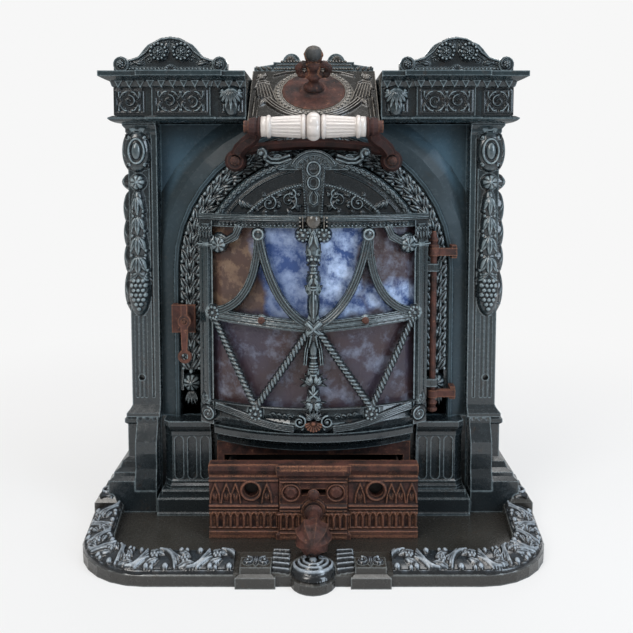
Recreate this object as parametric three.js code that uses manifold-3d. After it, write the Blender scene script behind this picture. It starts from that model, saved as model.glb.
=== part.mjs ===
// Enamelled cast iron stove in the form of a small fireplace.
// Millimetres, +Z up, the front faces -Y, and the origin is the middle of the footprint on the floor.
import * as THREE from "three";
import { mergeVertices } from "three/addons/utils/BufferGeometryUtils.js";
import Module from "manifold-3d";

const wasm = await Module();
wasm.setup();

// Fits and walls shared by all castings
const fit = 0.3; // gap between faces that touch
const over = 3; // how far a cutter runs past the face that it cuts
const wall = 6; // casting thickness

// Overall depth: boss of the hearth to the end of the flue collar
const fullDepth = 452;
const frontY = -fullDepth / 2;
const backY = fullDepth / 2;

// Widths, worked out from the body outwards and inwards
const bodyHalf = 285; // outside of the side walls
const pilasterProud = 5; // past the side wall
const pilasterWidth = 45;
const pilasterOuter = bodyHalf + pilasterProud;
const pilasterInner = pilasterOuter - pilasterWidth;
const sideBaseProud = 13;
const sideBaseWidth = 50;
const sideBaseDie = bodyHalf + sideBaseProud;
const sideBaseInner = sideBaseDie - sideBaseWidth;
const sideBaseFoot = 26; // reach of the lowest step past the die
const trayMargin = 21;
const hearthWidth = 2 * (sideBaseDie + sideBaseFoot + trayMargin);
const friezeOverhang = 17;
const friezeHalf = pilasterOuter + friezeOverhang;
const rimMargin = 31; // panel between the rim and the pilaster
const rimRadius = pilasterInner - rimMargin;
const garlandBand = 36;
const ringInner = rimRadius - garlandBand;
const fireInset = 7;
const fireRadius = ringInner - fireInset;
const doorGap = 2;
const doorHalf = ringInner - doorGap;
const lunetteGap = 1;
const lunetteRadius = ringInner - lunetteGap;

// Heights, worked out from the floor up
const floorHeight = 12; // tray floor
const pierTop = 160; // top of the pedestal zone
const archLeg = 236;
const archCentre = pierTop + archLeg; // height of the springing
const crownRoom = 16;
const bodyTop = archCentre + rimRadius + crownRoom; // underside of the entablature
const torusTall = 10;
const friezeTall = 43;
const corniceTall = 24;
const friezeBottom = bodyTop + torusTall;
const friezeTop = friezeBottom + friezeTall;
const topHeight = friezeTop + corniceTall;

// Hearth tray
const bossReach = 22; // boss in front of the straight edge
const bossHalf = 31;
const bossHeight = 26;
const hearthEdgeY = frontY + bossReach;
const hearthRearY = 105; // where the wide tray ends beside the body
const hearthCornerRadius = 110;
const fasciaHeight = 15;
const borderHeight = 27;
const borderWidth = 46;
const hearthFrontInset = 9;
const hearthFrontHalf = hearthWidth / 2 - hearthFrontInset;
const cornerBlockHeight = 38;
const cornerBlockWidth = 36;
const cornerBlockFrontY = -20;
const cornerBlockDepth = 84;
const stepBlockInner = 50;
const stepBlockOuter = 104;
const stepBlockEdge = 6;

// Body
const bodyBackY = 190; // inside of the back plate
const panelY = 40; // face of the flat front panels
const lowerPlateY = 24;

// Plinths and pedestals beside the drawer
const plinthGap = 3;
const plinthOuter = sideBaseInner - plinthGap;
const pedestalGap = 23;
const pedestalWidth = 62;
const pedestalOuter = sideBaseInner - pedestalGap;
const pedestalInner = pedestalOuter - pedestalWidth;
const pedestalChamfer = 13;
const pedestalFrontY = 1;
const pedestalMould = 9; // furthest reach of its mouldings
const plinthLip = 7;
const plinthInner = pedestalInner - plinthLip;
const plinthFrontY = -24;
const plinthHeight = 27;
const plinthEdge = 2;
const plinthStepTall = 7;
const plinthTop = floorHeight + fit + plinthHeight + plinthStepTall;
const treadDepth = 14;
const dieBottom = 60;
const capGap = 3;
const capTall = 27;
const capTop = pierTop - capGap;
const dieTop = capTop - capTall;
const fluteCount = 3;
const fluteRadius = 6.5;
const fluteDepth = 4;

// Side bases and scroll brackets
const sideBaseFrontY = 12;
const sideBaseReturn = 20;
const bracketWidth = 34;

// Pilasters
const pilasterFrontY = 12;
const pilasterMould = 8;
const pilasterBaseTall = 18;
const innerStrip = 14; // moulded strip on the inner edge of the post
const postFluteRise = 30;
const postFluteGap = 6;
const postFluteRadius = 2.6;
const postFluteSpacing = 7;
const stripFrom = 9;
const stripTo = 12;
const stripDeep = 3;
const stripTopGap = 24;
const postHoleRadius = 5;
const postHoleRise = 62;
const postHoleDeep = 8;
const garlandTopGap = 16;
const garlandRise = 168;
const garlandTop = bodyTop - garlandTopGap;
const garlandBottom = pierTop + garlandRise;
const garlandProud = 15;
const garlandSink = 4;
const garlandHalf = 19;
const sideGarlandHalf = 12;
const sideGarlandProud = 8.25;

// Arch
const rimWidth = 9;
const rimY = 16;
const rimEdge = 2;
const rimProud = 1;
const rimFall = 3;
const flareFall = 8;
const flareLap = 28;
const flareRadius = pilasterInner + flareLap;
const ringY = 20;
const ringThick = 7;
const ringRise = 18;
const ringFoot = pierTop + ringRise; // lowest point of the garland tassels
const leafCount = 17;
const rosetteRadius = 14;
const rosetteProud = 3;
const vineHalf = 2.5;
const vineDrop = 2;
const railHalf = 2;
const railThick = 3;
const tasselTall = 20;
const tasselRise = 12;
const tasselLength = 34;
const tasselWidth = 15;

// Fire box inside
const fireWall = 6;
const fireFrontY = -1;
const fireBackY = 168;
const chuteRadius = 46;
const chuteWall = 5;
const chuteFootY = 102;
const flueRadius = 55;
const flueWall = 6;
const flueStep = 2;
const flueSpigot = 14;
const flangeThick = 6;
const flangeReach = 12;
const flueRise = 54;
const flueHeight = archCentre + flueRise;
const airSlotRise = 110;
const airSlotTall = 30;
const grateMargin = 53;
const grateHalf = fireRadius - grateMargin;
const grateFrontY = 22;
const grateBackY = 142;
const grateTall = 15.4;
const grateFrame = 9;
const grateBars = 9;
const grateBarWidth = 9;
const linerThick = 16;
const linerHeight = 190;

// Door
const doorY = -14; // face of the door at its sides
const doorBow = 57;
const doorThick = 9;
const doorBottom = pierTop + fit;
const sillTall = 36.7;
const glassBottom = doorBottom + sillTall;
const glassRise = 72; // top of the glass over the springing
const glassTop = archCentre + glassRise;
const glassTall = glassTop - glassBottom;
const headTall = 19;
const doorTop = glassTop + headTall;
const stileWidth = 22;
const stileProud = 2;
const columnRadius = 7;
const columnSink = 1;
const columnTail = 4;
const capitalProud = 8;
const capitalTall = 14;
const voluteRadius = 13;
const voluteDrop = 18;
const voluteProud = 9;
const doorCornice = 5;
const shelfInset = 1;
const shelfStep = 2;
const micaThick = 1.5;
const micaLap = 6;
const micaTopLap = 4;
const stripWidth = 9;
const stripThick = 3;
const stripLap = 6;
const stripDrop = 7;

// Lunette
const lunetteThick = 8;
const lunetteInset = 2;
const lunetteMould = 12;
const lunetteProud = 4;
const beadHalf = 2.5;
const beadProud = 3;
const beadInset = 42;
const keyFootHalf = 13;
const keyHeadHalf = 19;
const keyInset = 6;
const keyThick = 6;
const keySink = 2;
const crestHeight = 11;
const crestRadius = 40;
const crestHalf = 54;
const crestDrop = 20;
const crestThick = 8;
const crestSink = 4;
const earRadius = 8;
const earProud = 5;
const earDrop = 4;

// Hinge and latch
const hingeOut = 11;
const hingeX = doorHalf + hingeOut;
const hingeY = -4;
const hingeRodRadius = 5;
const hingeCollar = 8;
const hingeFootTall = 24;
const finialTall = 26;
const knuckleTall = 12;
const knuckleWall = 4;
const knuckleInset = 2;
const knuckleRise = 17;
const lowKnuckle = glassBottom + knuckleRise;
const highKnuckle = archCentre;
const lowBracketDrop = 18;
const highBracketRise = 24;
const lowBracket = lowKnuckle - lowBracketDrop;
const highBracket = highKnuckle + highBracketRise;
const bracketArmFront = 3;
const bracketArmBack = 4;
const padInset = 1;
const padLap = 4;
const latchOut = 22;
const latchX = -doorHalf - latchOut;
const leverGap = 18;
const leverFrontY = doorY - leverGap;
const leverThick = 5;
const leverHubRadius = 10;
const latchPinRadius = 4;
const latchPinTail = 4;
const latchSpacer = 8;
const keeperDown = 24;
const keeperUp = 20;
const keeperLap = 12;
const keeperThick = 6;
const pinSink = 1;
const tongueWidth = 10;
const tongueLength = 26;
const tailHalf = 6;
const tailEndHalf = 4;
const tailLength = 48;
const eyeDrop = 55;
const eyeRadius = 8;
const eyeWire = 3;

// Tracery of the door
const ribbonWidth = 12;
const ribbonThick = 6;
const ropeRadius = 4.8;
const ropeTwists = 5;
const knotShare = 0.46;
const knotHeight = glassBottom + knotShare * glassTall;
const stemRadius = 13;
const stemSink = 1.5;
const discRadius = 11;
const discProud = 8;
const discSink = 1;
const latchZ = knotHeight;
const boltLift = 10;
const boltX = doorHalf / 2 - stileWidth / 2;
const boltZ = knotHeight + boltLift;
const boltRadius = 2.5;
const boltBoss = 8;
const boltSeat = 1;
const boltStandOff = 2;
const boltHeadRadius = 5.5;
const boltHeadTall = 4;
const boltTail = 6;

// Ash drawer
const frameInset = 3;
const frameHalf = plinthInner - frameInset;
const frameWidth = 11;
const openingHalf = frameHalf - frameWidth;
const frameTop = 124;
const apronReach = 26; // how far the foot of the apron lies behind its head
const openingDrop = 22;
const openingTop = frameTop - openingDrop;
const frameFrontY = -4;
const drawerOut = 75; // how far the drawer stands open
const drawerInset = 2.5;
const drawerHalf = plinthInner - drawerInset;
const drawerThick = 12;
const drawerBottom = floorHeight + fit;
const drawerTop = frameTop - 2 * fit;
const drawerTall = drawerTop - drawerBottom;
const drawerMould = 8;
const centreHalf = 50;
const centreProud = 5;
const centreSink = 2;
const domeX = 33;
const domeRadius = 13;
const domeProud = 10;
const panInset = 8;
const panHalf = openingHalf - panInset;
const panRoom = 5.4;
const panLow = drawerBottom + fit;
const panHeight = openingTop - panLow - panRoom;
const panLength = 160;
const panWall = 3;
const runnerGap = 2;
const runnerThick = 3;
const runnerTall = 16;
const slotShare = 0.6274;
const slotCentre = drawerBottom + slotShare * drawerTall; // height of the air slot
const slotHalf = 18;
const slotHeight = 9;
const airHoleX = 92;
const airHoleLift = 2;
const airHoleRadius = 11;
const sliderGap = 0.5;
const sliderHalf = 32;
const sliderThick = 2.5;
const sliderTall = 20;
const sliderNeck = 3.6;
const sliderBoss = 9;
const sliderReach = 10;
const pocketGap = 1;
const pocketDeep = 3.4;
const knobLength = 102;
const knobRadius = 26;
const knobShare = 0.3753;
const knobHeight = drawerBottom + knobShare * drawerTall; // height of its axis
const knobBossRadius = 16;
const knobBossProud = 9;
const knobPin = 5;
const rivetRadius = 9;
const rivetThick = 7;
const rivetTail = 4;
const archletMargin = 8;
const archletRise = 13;
const archletTall = 17;
const archletDeep = 1.5;

// Entablature, pediments and hood
const friezeFrontY = 2;
const corniceReach = 20;
const torusReach = 9;
const blockInset = 59;
const blockWidth = 90;
const blockOuter = friezeHalf - blockInset;
const blockInner = blockOuter - blockWidth;
const blockProud = 8;
const dentilCount = 12;
const dentilTall = 11;
const dentilDrop = 1;
const dentilProud = 9;
const pedimentHalf = 88;
const pedimentOutset = 2;
const pedimentCentre = friezeHalf + pedimentOutset - pedimentHalf;
const pedimentHeight = 55;
const pedimentThick = 14;
const pedimentY = 10;
const rollRadius = 12;
const rollProud = 4;
const gableRosette = 16;
const gableRosetteProud = 7;
const gableRosetteSink = 1;
const hoodHalf = 101;
const hoodGap = 3;
const friezeInner = hoodHalf + hoodGap;
const hoodLipY = -9;
const hoodLipRise = 3;
const hoodLip = bodyTop + hoodLipRise;
const hoodAngle = (40 * Math.PI) / 180;
const hoodLength = 135;
const hoodThick = 7;
const hoodFlat = 12;
const hoodLipDeep = 8;
const cheekSink = 1;
const lidRadius = 50;
const lidThick = 7;
const lidUp = 70; // from the lip to the lid's centre along the slope
const lidGap = 1;
const lidPlug = 5;
const lidPlugGap = 1.5;
const lidEdge = 3;
const lidBossRadius = 24;
const lidBossTall = 9;
const seatReach = 13;
const seatRise = 5;
const neckRadius = 9;
const neckTall = 24;
const hubRise = 40;
const lobeReach = 11;
const lobeRadius = 9;
const lobeWire = 4;
const hubRadius = 8;
const hubStem = 6;
const galleryHeight = 18;
const galleryHalf = 67;
const galleryInset = 2;
const galleryThick = 9;
const hoodTopY = hoodLipY + hoodLength * Math.cos(hoodAngle);
const hoodTopZ = hoodLip + hoodLength * Math.sin(hoodAngle);

// Handle
const handleXShare = 0.5654;
const handleX = rimRadius * handleXShare;
const handleTrack = rimRadius - rimWidth / 2;
const handleZ = archCentre + Math.sqrt(handleTrack ** 2 - handleX ** 2);
const handleBossRadius = 17;
const handleBossTall = 18;
const gripInset = 44;
const gripLift = 50;
const gripHeight = handleZ + gripLift;
const gripHalf = handleX - gripInset;
const gripRadius = 17;
const gripBead = 21.5;
const gripY = -50;
const rodRadius = 5;
const rodHeadRadius = 9;
const rodHeadLong = 7;
const collarX = gripHalf + fit;
const collarLong = 18;
const collarRadius = 15;
const armRadius = 11;
const armRootY = 4;
const armSink = 6;
const armDrop = 4;
const barRadius = 8;
const barInset = 12;
const barRise = 16;
const barBow = 10;
const barY = 2;
const handleBoltRadius = 4;
const handleBoltHead = 8;
const handleBoltHeadTall = 6;
const handleBoltLong = 14;
const handleHoleFloor = 2;
const sinkRadius = 10;

// Enamel, rust and porcelain
const finishes = {
  enamel: { color: 0x2f4a4c, roughness: 0.3, metalness: 0 },
  trayEnamel: { color: 0x2c302b, roughness: 0.4, metalness: 0 },
  rust: { color: 0x4a2a20, roughness: 0.7, metalness: 0.3 },
  iron: { color: 0x2a2624, roughness: 0.8, metalness: 0.5 },
  porcelain: { color: 0xe6dccb, roughness: 0.25, metalness: 0 },
  mica: { color: 0x6b5560, roughness: 0.2, metalness: 0 },
};

// Solids
const positionOnly = (geometry) => {
  const plain = geometry.clone();
  plain.deleteAttribute("normal");
  plain.deleteAttribute("uv");
  return mergeVertices(plain, 1e-4);
};

function solid(geometry) {
  const merged = positionOnly(geometry);
  const made = new wasm.Manifold(
    new wasm.Mesh({
      numProp: 3,
      vertProperties: new Float32Array(merged.attributes.position.array),
      triVerts: new Uint32Array(merged.index.array),
    }),
  );
  return made;
}

function geometryOf(made) {
  const mesh = made.getMesh();
  const geometry = new THREE.BufferGeometry();
  geometry.setAttribute("position", new THREE.BufferAttribute(mesh.vertProperties, 3));
  geometry.setIndex(new THREE.BufferAttribute(mesh.triVerts, 1));
  geometry.computeVertexNormals();
  return geometry;
}

const join = (first, ...rest) => rest.reduce((sum, next) => sum.add(next), first);
const cut = (first, ...rest) => rest.reduce((left, next) => left.subtract(next), first);

// A closed skin over rings of equal count, with its faces turned outwards.
function loft(rings) {
  const count = rings[0].length;
  const flat = rings.flat().flatMap((p) => [p.x, p.y, p.z]);
  const faces = [];
  for (let r = 0; r + 1 < rings.length; r++)
    for (let i = 0; i < count; i++) {
      const a = r * count + i;
      const b = r * count + ((i + 1) % count);
      faces.push(a, b, b + count, a, b + count, a + count);
    }
  const last = (rings.length - 1) * count;
  for (const [x, y, z] of capFaces(rings[0])) faces.push(x, z, y);
  for (const [x, y, z] of capFaces(rings[rings.length - 1])) faces.push(last + x, last + y, last + z);
  const corners = rings.flat();
  let volume = 0;
  for (let i = 0; i < faces.length; i += 3) {
    const [a, b, c] = [corners[faces[i]], corners[faces[i + 1]], corners[faces[i + 2]]];
    volume += a.dot(new THREE.Vector3().crossVectors(b, c));
  }
  if (volume < 0) faces.reverse();
  const geometry = new THREE.BufferGeometry();
  geometry.setAttribute("position", new THREE.Float32BufferAttribute(flat, 3));
  geometry.setIndex(faces);
  return geometry;
}

// Triangles of a flat ring, worked out in the ring's own plane.
function capFaces(ring) {
  const normal = new THREE.Vector3();
  ring.forEach((p, i) => normal.add(new THREE.Vector3().crossVectors(p, ring[(i + 1) % ring.length])));
  const side = ring[1].clone().sub(ring[0]).normalize();
  const up = new THREE.Vector3().crossVectors(normal, side).normalize();
  const flat = ring.map((p) => new THREE.Vector2(p.dot(side), p.dot(up)));
  return THREE.ShapeUtils.triangulateShape(flat, []);
}

// A table of shares turned into sizes: the first of a pair follows wide, the second runs from low over tall
const sized = (shares, wide, low, tall) => shares.map(([a, b]) => [a * wide, low + b * tall]);

const plan = (...points) => points.map(([x, y]) => new THREE.Vector2(x, y));
const rectangle = (x0, x1, y0, y1) => plan([x0, y0], [x1, y0], [x1, y1], [x0, y1]);

// The outline moved outwards by reach, except the edges named in still.
function grown(points, reach, still = []) {
  const lines = points.map((p, i) => {
    const q = points[(i + 1) % points.length];
    const along = q.clone().sub(p).normalize();
    const out = new THREE.Vector2(along.y, -along.x).multiplyScalar(still.includes(i) ? 0 : reach);
    return { from: p.clone().add(out), along };
  });
  return points.map((p, i) => {
    const a = lines[(i + points.length - 1) % points.length];
    const b = lines[i];
    const cross = a.along.cross(b.along);
    if (Math.abs(cross) < 1e-3) return b.from.clone();
    const t = b.from.clone().sub(a.from).cross(b.along) / cross;
    return a.from.clone().addScaledVector(a.along, t);
  });
}

// Moulding round a plan: profile is [reach, height] from the bottom up.
const moulded = (points, profile, still) =>
  solid(
    loft(profile.map(([reach, z]) => grown(points, reach, still).map((p) => new THREE.Vector3(p.x, p.y, z)))),
  );

function block(x0, x1, y0, y1, z0, z1) {
  const geometry = new THREE.BoxGeometry(x1 - x0, y1 - y0, z1 - z0);
  geometry.translate((x0 + x1) / 2, (y0 + y1) / 2, (z0 + z1) / 2);
  return solid(geometry);
}

// An outline drawn in X and Z, extruded from yBack forwards.
function facing(shape, yBack, thick, segments = 8) {
  const geometry = new THREE.ExtrudeGeometry(shape, {
    depth: thick,
    bevelEnabled: false,
    curveSegments: segments,
  });
  geometry.rotateX(Math.PI / 2);
  geometry.translate(0, yBack, 0);
  return solid(geometry);
}

// An outline drawn in Y and Z, extruded along X.
function sideways(points, x0, x1) {
  const geometry = new THREE.ExtrudeGeometry(new THREE.Shape(plan(...points)), {
    depth: x1 - x0,
    bevelEnabled: false,
  });
  geometry.rotateZ(Math.PI / 2).rotateY(Math.PI / 2);
  geometry.translate(x0, 0, 0);
  return solid(geometry);
}

// A turned form: profile is [radius, length] along the axis, which points along direction.
function turned(profile, at, direction, sides = 16) {
  const closed = [[0, profile[0][1]], ...profile, [0, profile[profile.length - 1][1]]];
  const points = closed.map(([r, l]) => new THREE.Vector2(r, l));
  const geometry = new THREE.LatheGeometry(points, sides);
  const turn = new THREE.Quaternion().setFromUnitVectors(
    new THREE.Vector3(0, 1, 0),
    new THREE.Vector3(...direction).normalize(),
  );
  geometry.applyQuaternion(turn);
  geometry.translate(...at);
  return solid(geometry);
}

const rod = (radius, from, to, sides = 12) => {
  const along = new THREE.Vector3(...to).sub(new THREE.Vector3(...from));
  return turned([[radius, 0], [radius, along.length()]], from, along.toArray(), sides);
};

function mirrored(made) {
  const geometry = geometryOf(made).toNonIndexed();
  geometry.scale(-1, 1, 1);
  const merged = positionOnly(geometry);
  const index = merged.index.array;
  for (let i = 0; i < index.length; i += 3) [index[i + 1], index[i + 2]] = [index[i + 2], index[i + 1]];
  return solid(merged);
}

// The group of named pieces
const stove = new THREE.Group();
function piece(name, made, finish) {
  const mesh = new THREE.Mesh(geometryOf(made), new THREE.MeshStandardMaterial(finishes[finish]));
  mesh.name = name;
  stove.add(mesh);
}

function pair(name, left, finish) {
  piece(name + "_left", left, finish);
  piece(name + "_right", mirrored(left), finish);
}

// Points of a quarter turn round a centre, from one angle to another
function arc(cx, cy, radius, from, to, steps) {
  return Array.from({ length: steps + 1 }, (_, i) => {
    const a = from + ((to - from) * i) / steps;
    return [cx + radius * Math.cos(a), cy + radius * Math.sin(a)];
  });
}

// Hearth tray: a dished plate with a raised border, a centre boss and stepped blocks beside it
function hearthOutline() {
  const side = hearthWidth / 2;
  const front = hearthFrontHalf - hearthCornerRadius;
  const cy = hearthEdgeY + hearthCornerRadius;
  const right = arc(front, cy, hearthCornerRadius, -Math.PI / 2, 0, 7);
  const left = arc(-front, cy, hearthCornerRadius, Math.PI, 1.5 * Math.PI, 7);
  return plan(...left, ...right, [side, cornerBlockFrontY], [side, hearthRearY], [-side, hearthRearY], [
    -side,
    cornerBlockFrontY,
  ]);
}

function hearthPlate() {
  const slopeShares = [0, 0.06, 0.45, 0.87, 0.96];
  const borderRise = borderHeight - fasciaHeight;
  const riseShares = [0, 0.25, 0.75, 1, 0.8];
  const heights = riseShares.map((share) => fasciaHeight + share * borderRise);
  const profile = [[0, 0], ...slopeShares.map((share, i) => [-share * borderWidth, heights[i]])];
  profile.push([-borderWidth, floorHeight]);
  const rim = moulded(hearthOutline(), profile);
  const inside = hearthWidth / 2 - borderWidth;
  const room = block(-inside, inside, hearthRearY - 2 * borderWidth, hearthRearY + over, floorHeight, borderHeight + over);
  const back = block(-bodyHalf, bodyHalf, hearthRearY - over, bodyBackY, 0, floorHeight);
  const tray = join(cut(rim, room), back);
  const whole = join(tray, hearthBoss(), ...cornerBlocks(), ...steppedBlocks());
  const seat = moulded(sideBasePlan(), [
    [sideBaseFoot + fit, floorHeight],
    [sideBaseFoot + fit, cornerBlockHeight + over],
  ]);
  return cut(whole, seat, mirrored(seat));
}

// U-shaped boss in the middle of the front, in three steps like the lobes of a palmette
function hearthBoss() {
  const lobeShares = [
    [1, 1, 0, 0.73],
    [0.78, 0.8, 0.73, 0.885],
    [0.5, 0.56, 0.885, 1],
  ];
  const back = hearthEdgeY + borderWidth / 2;
  const cy = frontY + bossHalf;
  const parts = lobeShares.map(([wide, far, lowShare, highShare]) => {
    const half = bossHalf * wide;
    const turn = arc(0, cy, half, Math.PI, 2 * Math.PI, 10).map(([x, y]) => [x, cy + ((y - cy) / wide) * far]);
    const outline = plan(...turn, [half, back], [-half, back]);
    const low = lowShare * bossHeight;
    const high = highShare * bossHeight;
    const edge = (high - low) / 3;
    return moulded(outline, [[0, low], [0, high - edge], [-edge, high]]);
  });
  return join(...parts);
}

function cornerBlocks() {
  const outer = hearthWidth / 2;
  const outline = rectangle(outer - cornerBlockWidth, outer, cornerBlockFrontY, cornerBlockFrontY + cornerBlockDepth);
  const top = cornerBlockHeight;
  const made = moulded(outline, [[0, 0], [0, top * 0.8], [-cornerBlockWidth / 6, top], [-cornerBlockWidth / 4, top]]);
  return [made, mirrored(made)];
}

function steppedBlocks() {
  const step = stepBlockEdge;
  const back = hearthEdgeY + borderWidth * 0.7;
  const outline = rectangle(stepBlockInner, stepBlockOuter, hearthEdgeY - step, back);
  const made = moulded(outline, [[0, 0], [0, fasciaHeight], [-step, fasciaHeight + step / 2], [-step, borderHeight]]);
  return [made, mirrored(made)];
}

// Plinths: a lower block with a tread in front of each pedestal
function plinth() {
  const footShares = [[1, 0], [1, 0.11], [0, 0.185], [0, 0.926], [-1, 1]];
  const stepShares = [[0, -0.3], [0, 0.7], [-1, 1]];
  const foot = floorHeight + fit;
  const back = lowerPlateY - fit;
  const outline = rectangle(-plinthOuter, -plinthInner, plinthFrontY, back);
  const lower = moulded(outline, sized(footShares, plinthEdge, foot, plinthHeight), [1, 2, 3]);
  const outer = pedestalOuter + pedestalChamfer + plinthGap;
  const upper = rectangle(-outer, -plinthInner, plinthFrontY + treadDepth, back);
  const step = moulded(upper, sized(stepShares, plinthEdge, foot + plinthHeight, plinthStepTall), [1, 2, 3]);
  return join(lower, step);
}

// Pedestals: a die with round-headed flutes, an outer chamfer, a moulded base and cap
function pedestal() {
  const outline = plan(
    [-pedestalOuter - pedestalChamfer, pedestalFrontY + pedestalChamfer],
    [-pedestalOuter, pedestalFrontY],
    [-pedestalInner, pedestalFrontY],
    [-pedestalInner, lowerPlateY - fit],
    [-pedestalOuter - pedestalChamfer, lowerPlateY - fit],
  );
  const baseShares = [[0.67, 0], [0.67, 0.37], [0.33, 0.6], [0.33, 0.85], [0, 1]];
  const capShares = [[0, 0], [0.22, 0.07], [0.22, 0.3], [0.67, 0.5], [1, 0.7], [1, 1]];
  const base = plinthTop + fit;
  const profile = [
    ...sized(baseShares, pedestalMould, base, dieBottom - base),
    ...sized(capShares, pedestalMould, dieTop, capTop - dieTop),
  ];
  return cut(moulded(outline, profile, [2, 3, 4]), ...pedestalFlutes());
}

function pedestalFlutes() {
  const pitch = (pedestalOuter - pedestalInner) / fluteCount;
  const low = dieBottom + fluteRadius;
  const high = dieTop - fluteRadius;
  return Array.from({ length: fluteCount }, (_, i) => {
    const x = -pedestalInner - pitch * (i + 0.5);
    const shape = new THREE.Shape();
    shape.moveTo(x - fluteRadius, low);
    shape.absarc(x, low, fluteRadius, Math.PI, 2 * Math.PI, false);
    shape.absarc(x, high, fluteRadius, 0, Math.PI, false);
    return facing(shape, pedestalFrontY + fluteDepth, fluteDepth + over, 5);
  });
}

// Stepped base under each pilaster, running back along the side
function sideBasePlan() {
  const frontReturn = panelY - fit;
  const inner = sideBaseDie - sideBaseReturn;
  return plan(
    [-sideBaseDie, sideBaseFrontY],
    [-sideBaseInner, sideBaseFrontY],
    [-sideBaseInner, frontReturn],
    [-inner, frontReturn],
    [-inner, bodyBackY - fit],
    [-sideBaseDie, bodyBackY - fit],
  );
}

function sideBase() {
  const stepShares = [
    [1, 0],
    [1, 0.337],
    [0.73, 0.378],
    [0.73, 0.419],
    [0.423, 0.4525],
    [0.308, 0.514],
    [0, 0.5475],
    [0, 0.907],
    [0.154, 0.934],
    [0.154, 0.975],
    [0, 1],
  ];
  const foot = floorHeight + fit;
  const profile = sized(stepShares, sideBaseFoot, foot, pierTop - fit - foot);
  const room = block(
    bracketOuterX - fit,
    -sideBaseInner + over,
    sideBaseFrontY - sideBaseFoot - over,
    sideBaseFrontY,
    plinthTop,
    pierTop,
  );
  return cut(moulded(sideBasePlan(), profile, [1, 2, 3, 4]), room);
}

const bracketOuterX = -sideBaseInner - bracketWidth;

// Scroll bracket in front of the side base: an ogee in profile with a fluted, hollowed face
function bracket() {
  const outlineShares = [
    [0, 0],
    [1, 0],
    [0.96, 0.18],
    [0.8, 0.3],
    [0.86, 0.52],
    [0.8, 0.68],
    [0.52, 0.82],
    [0.3, 0.92],
    [0.34, 1],
    [0, 1],
  ];
  const foot = plinthTop + fit;
  const tall = pierTop - fit - foot;
  const back = sideBaseFrontY - fit;
  const points = sized(outlineShares, -sideBaseFoot, foot, tall).map(([out, z]) => [back + out, z]);
  const x0 = bracketOuterX;
  const body = sideways(points.reverse(), x0, x0 + bracketWidth);
  const pitch = bracketWidth / fluteCount;
  const flutes = Array.from({ length: fluteCount }, (_, i) => {
    const x = x0 + pitch * (i + 0.5);
    const low = [x, back - sideBaseFoot, foot + tall * 0.66];
    return rod(pitch * 0.36, low, [x, back - sideBaseFoot * 0.2, foot + tall * 1.1], 8);
  });
  return cut(body, ...flutes);
}

piece("hearth_plate", hearthPlate(), "trayEnamel");
pair("plinth", plinth(), "enamel");
pair("pedestal", pedestal(), "enamel");
pair("side_base", sideBase(), "enamel");
pair("bracket", bracket(), "enamel");

// Plate behind the pedestals with the drawer's opening, and the rusty frame set round that opening
const lowerHalf = sideBaseInner - fit;
function lowerPlate() {
  const low = floorHeight + fit;
  const plate = block(-lowerHalf, lowerHalf, lowerPlateY, lowerPlateY + wall, low, capTop);
  return cut(plate, block(-openingHalf, openingHalf, lowerPlateY - over, lowerPlateY + wall + over, 0, openingTop));
}

function drawerFrame() {
  const low = floorHeight + fit;
  const back = lowerPlateY - fit;
  const outer = block(-frameHalf, frameHalf, frameFrontY, back, low, frameTop);
  const hole = block(-openingHalf, openingHalf, frameFrontY - 2 * over, back + over, 0, openingTop);
  return cut(outer, hole);
}

function runner() {
  const low = floorHeight + fit;
  const reach = openingHalf - panHalf - runnerGap;
  const thick = runnerThick;
  const outline = plan([0, 0], [reach, 0], [reach, thick], [thick, thick], [thick, runnerTall], [0, runnerTall]);
  const made = facing(new THREE.Shape(outline), 0, bodyBackY - 2 * fit - lowerPlateY - wall);
  return solid(geometryOf(made).translate(-openingHalf, bodyBackY - fit, low));
}

// Door's plan: a bow between its sides
const bowRadius = (doorHalf * doorHalf + doorBow * doorBow) / (2 * doorBow);
const bowCentreY = doorY - doorBow + bowRadius;
const bowY = (x, inset = 0) => bowCentreY - Math.sqrt((bowRadius - inset) ** 2 - x * x);

function bowPlan(half, reach, backEdgeY, steps = 16) {
  const points = Array.from({ length: steps + 1 }, (_, i) => {
    const x = -half + (2 * half * i) / steps;
    return [x, bowY(x, -reach)];
  });
  return plan(...points, [half, backEdgeY], [-half, backEdgeY]);
}

// Bowed apron under the door, standing on the drawer frame
function apron() {
  const bowShares = [[-1, 0], [-0.923, 0.22], [-0.538, 0.4], [-0.192, 0.55], [-0.077, 0.6], [-0.077, 0.85], [0, 1]];
  const half = pedestalInner - pedestalMould - fit;
  const low = frameTop + fit;
  const back = lowerPlateY - fit;
  const profile = sized(bowShares, apronReach, low, doorBottom - fit - low);
  const rings = profile.map(([reach, z]) => bowPlan(half, reach, back).map((p) => new THREE.Vector3(p.x, p.y, z)));
  return solid(loft(rings));
}

// Side walls and back plate
const sideWall = () => block(-bodyHalf, -bodyHalf + wall, panelY, bodyBackY - fit, pierTop, bodyTop - fit);

function backPlate() {
  const low = bodyBackY - over;
  const high = bodyBackY + wall + over;
  const plate = block(-bodyHalf, bodyHalf, bodyBackY, bodyBackY + wall, floorHeight + fit, topHeight - wall);
  const airFoot = flueHeight + airSlotRise;
  const air = block(-openingHalf / 2, openingHalf / 2, low, high, airFoot, airFoot + airSlotTall);
  const hole = rod(flueRadius + flueWall + fit, [0, low, flueHeight], [0, high, flueHeight], 32);
  return cut(plate, hole, air);
}

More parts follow.
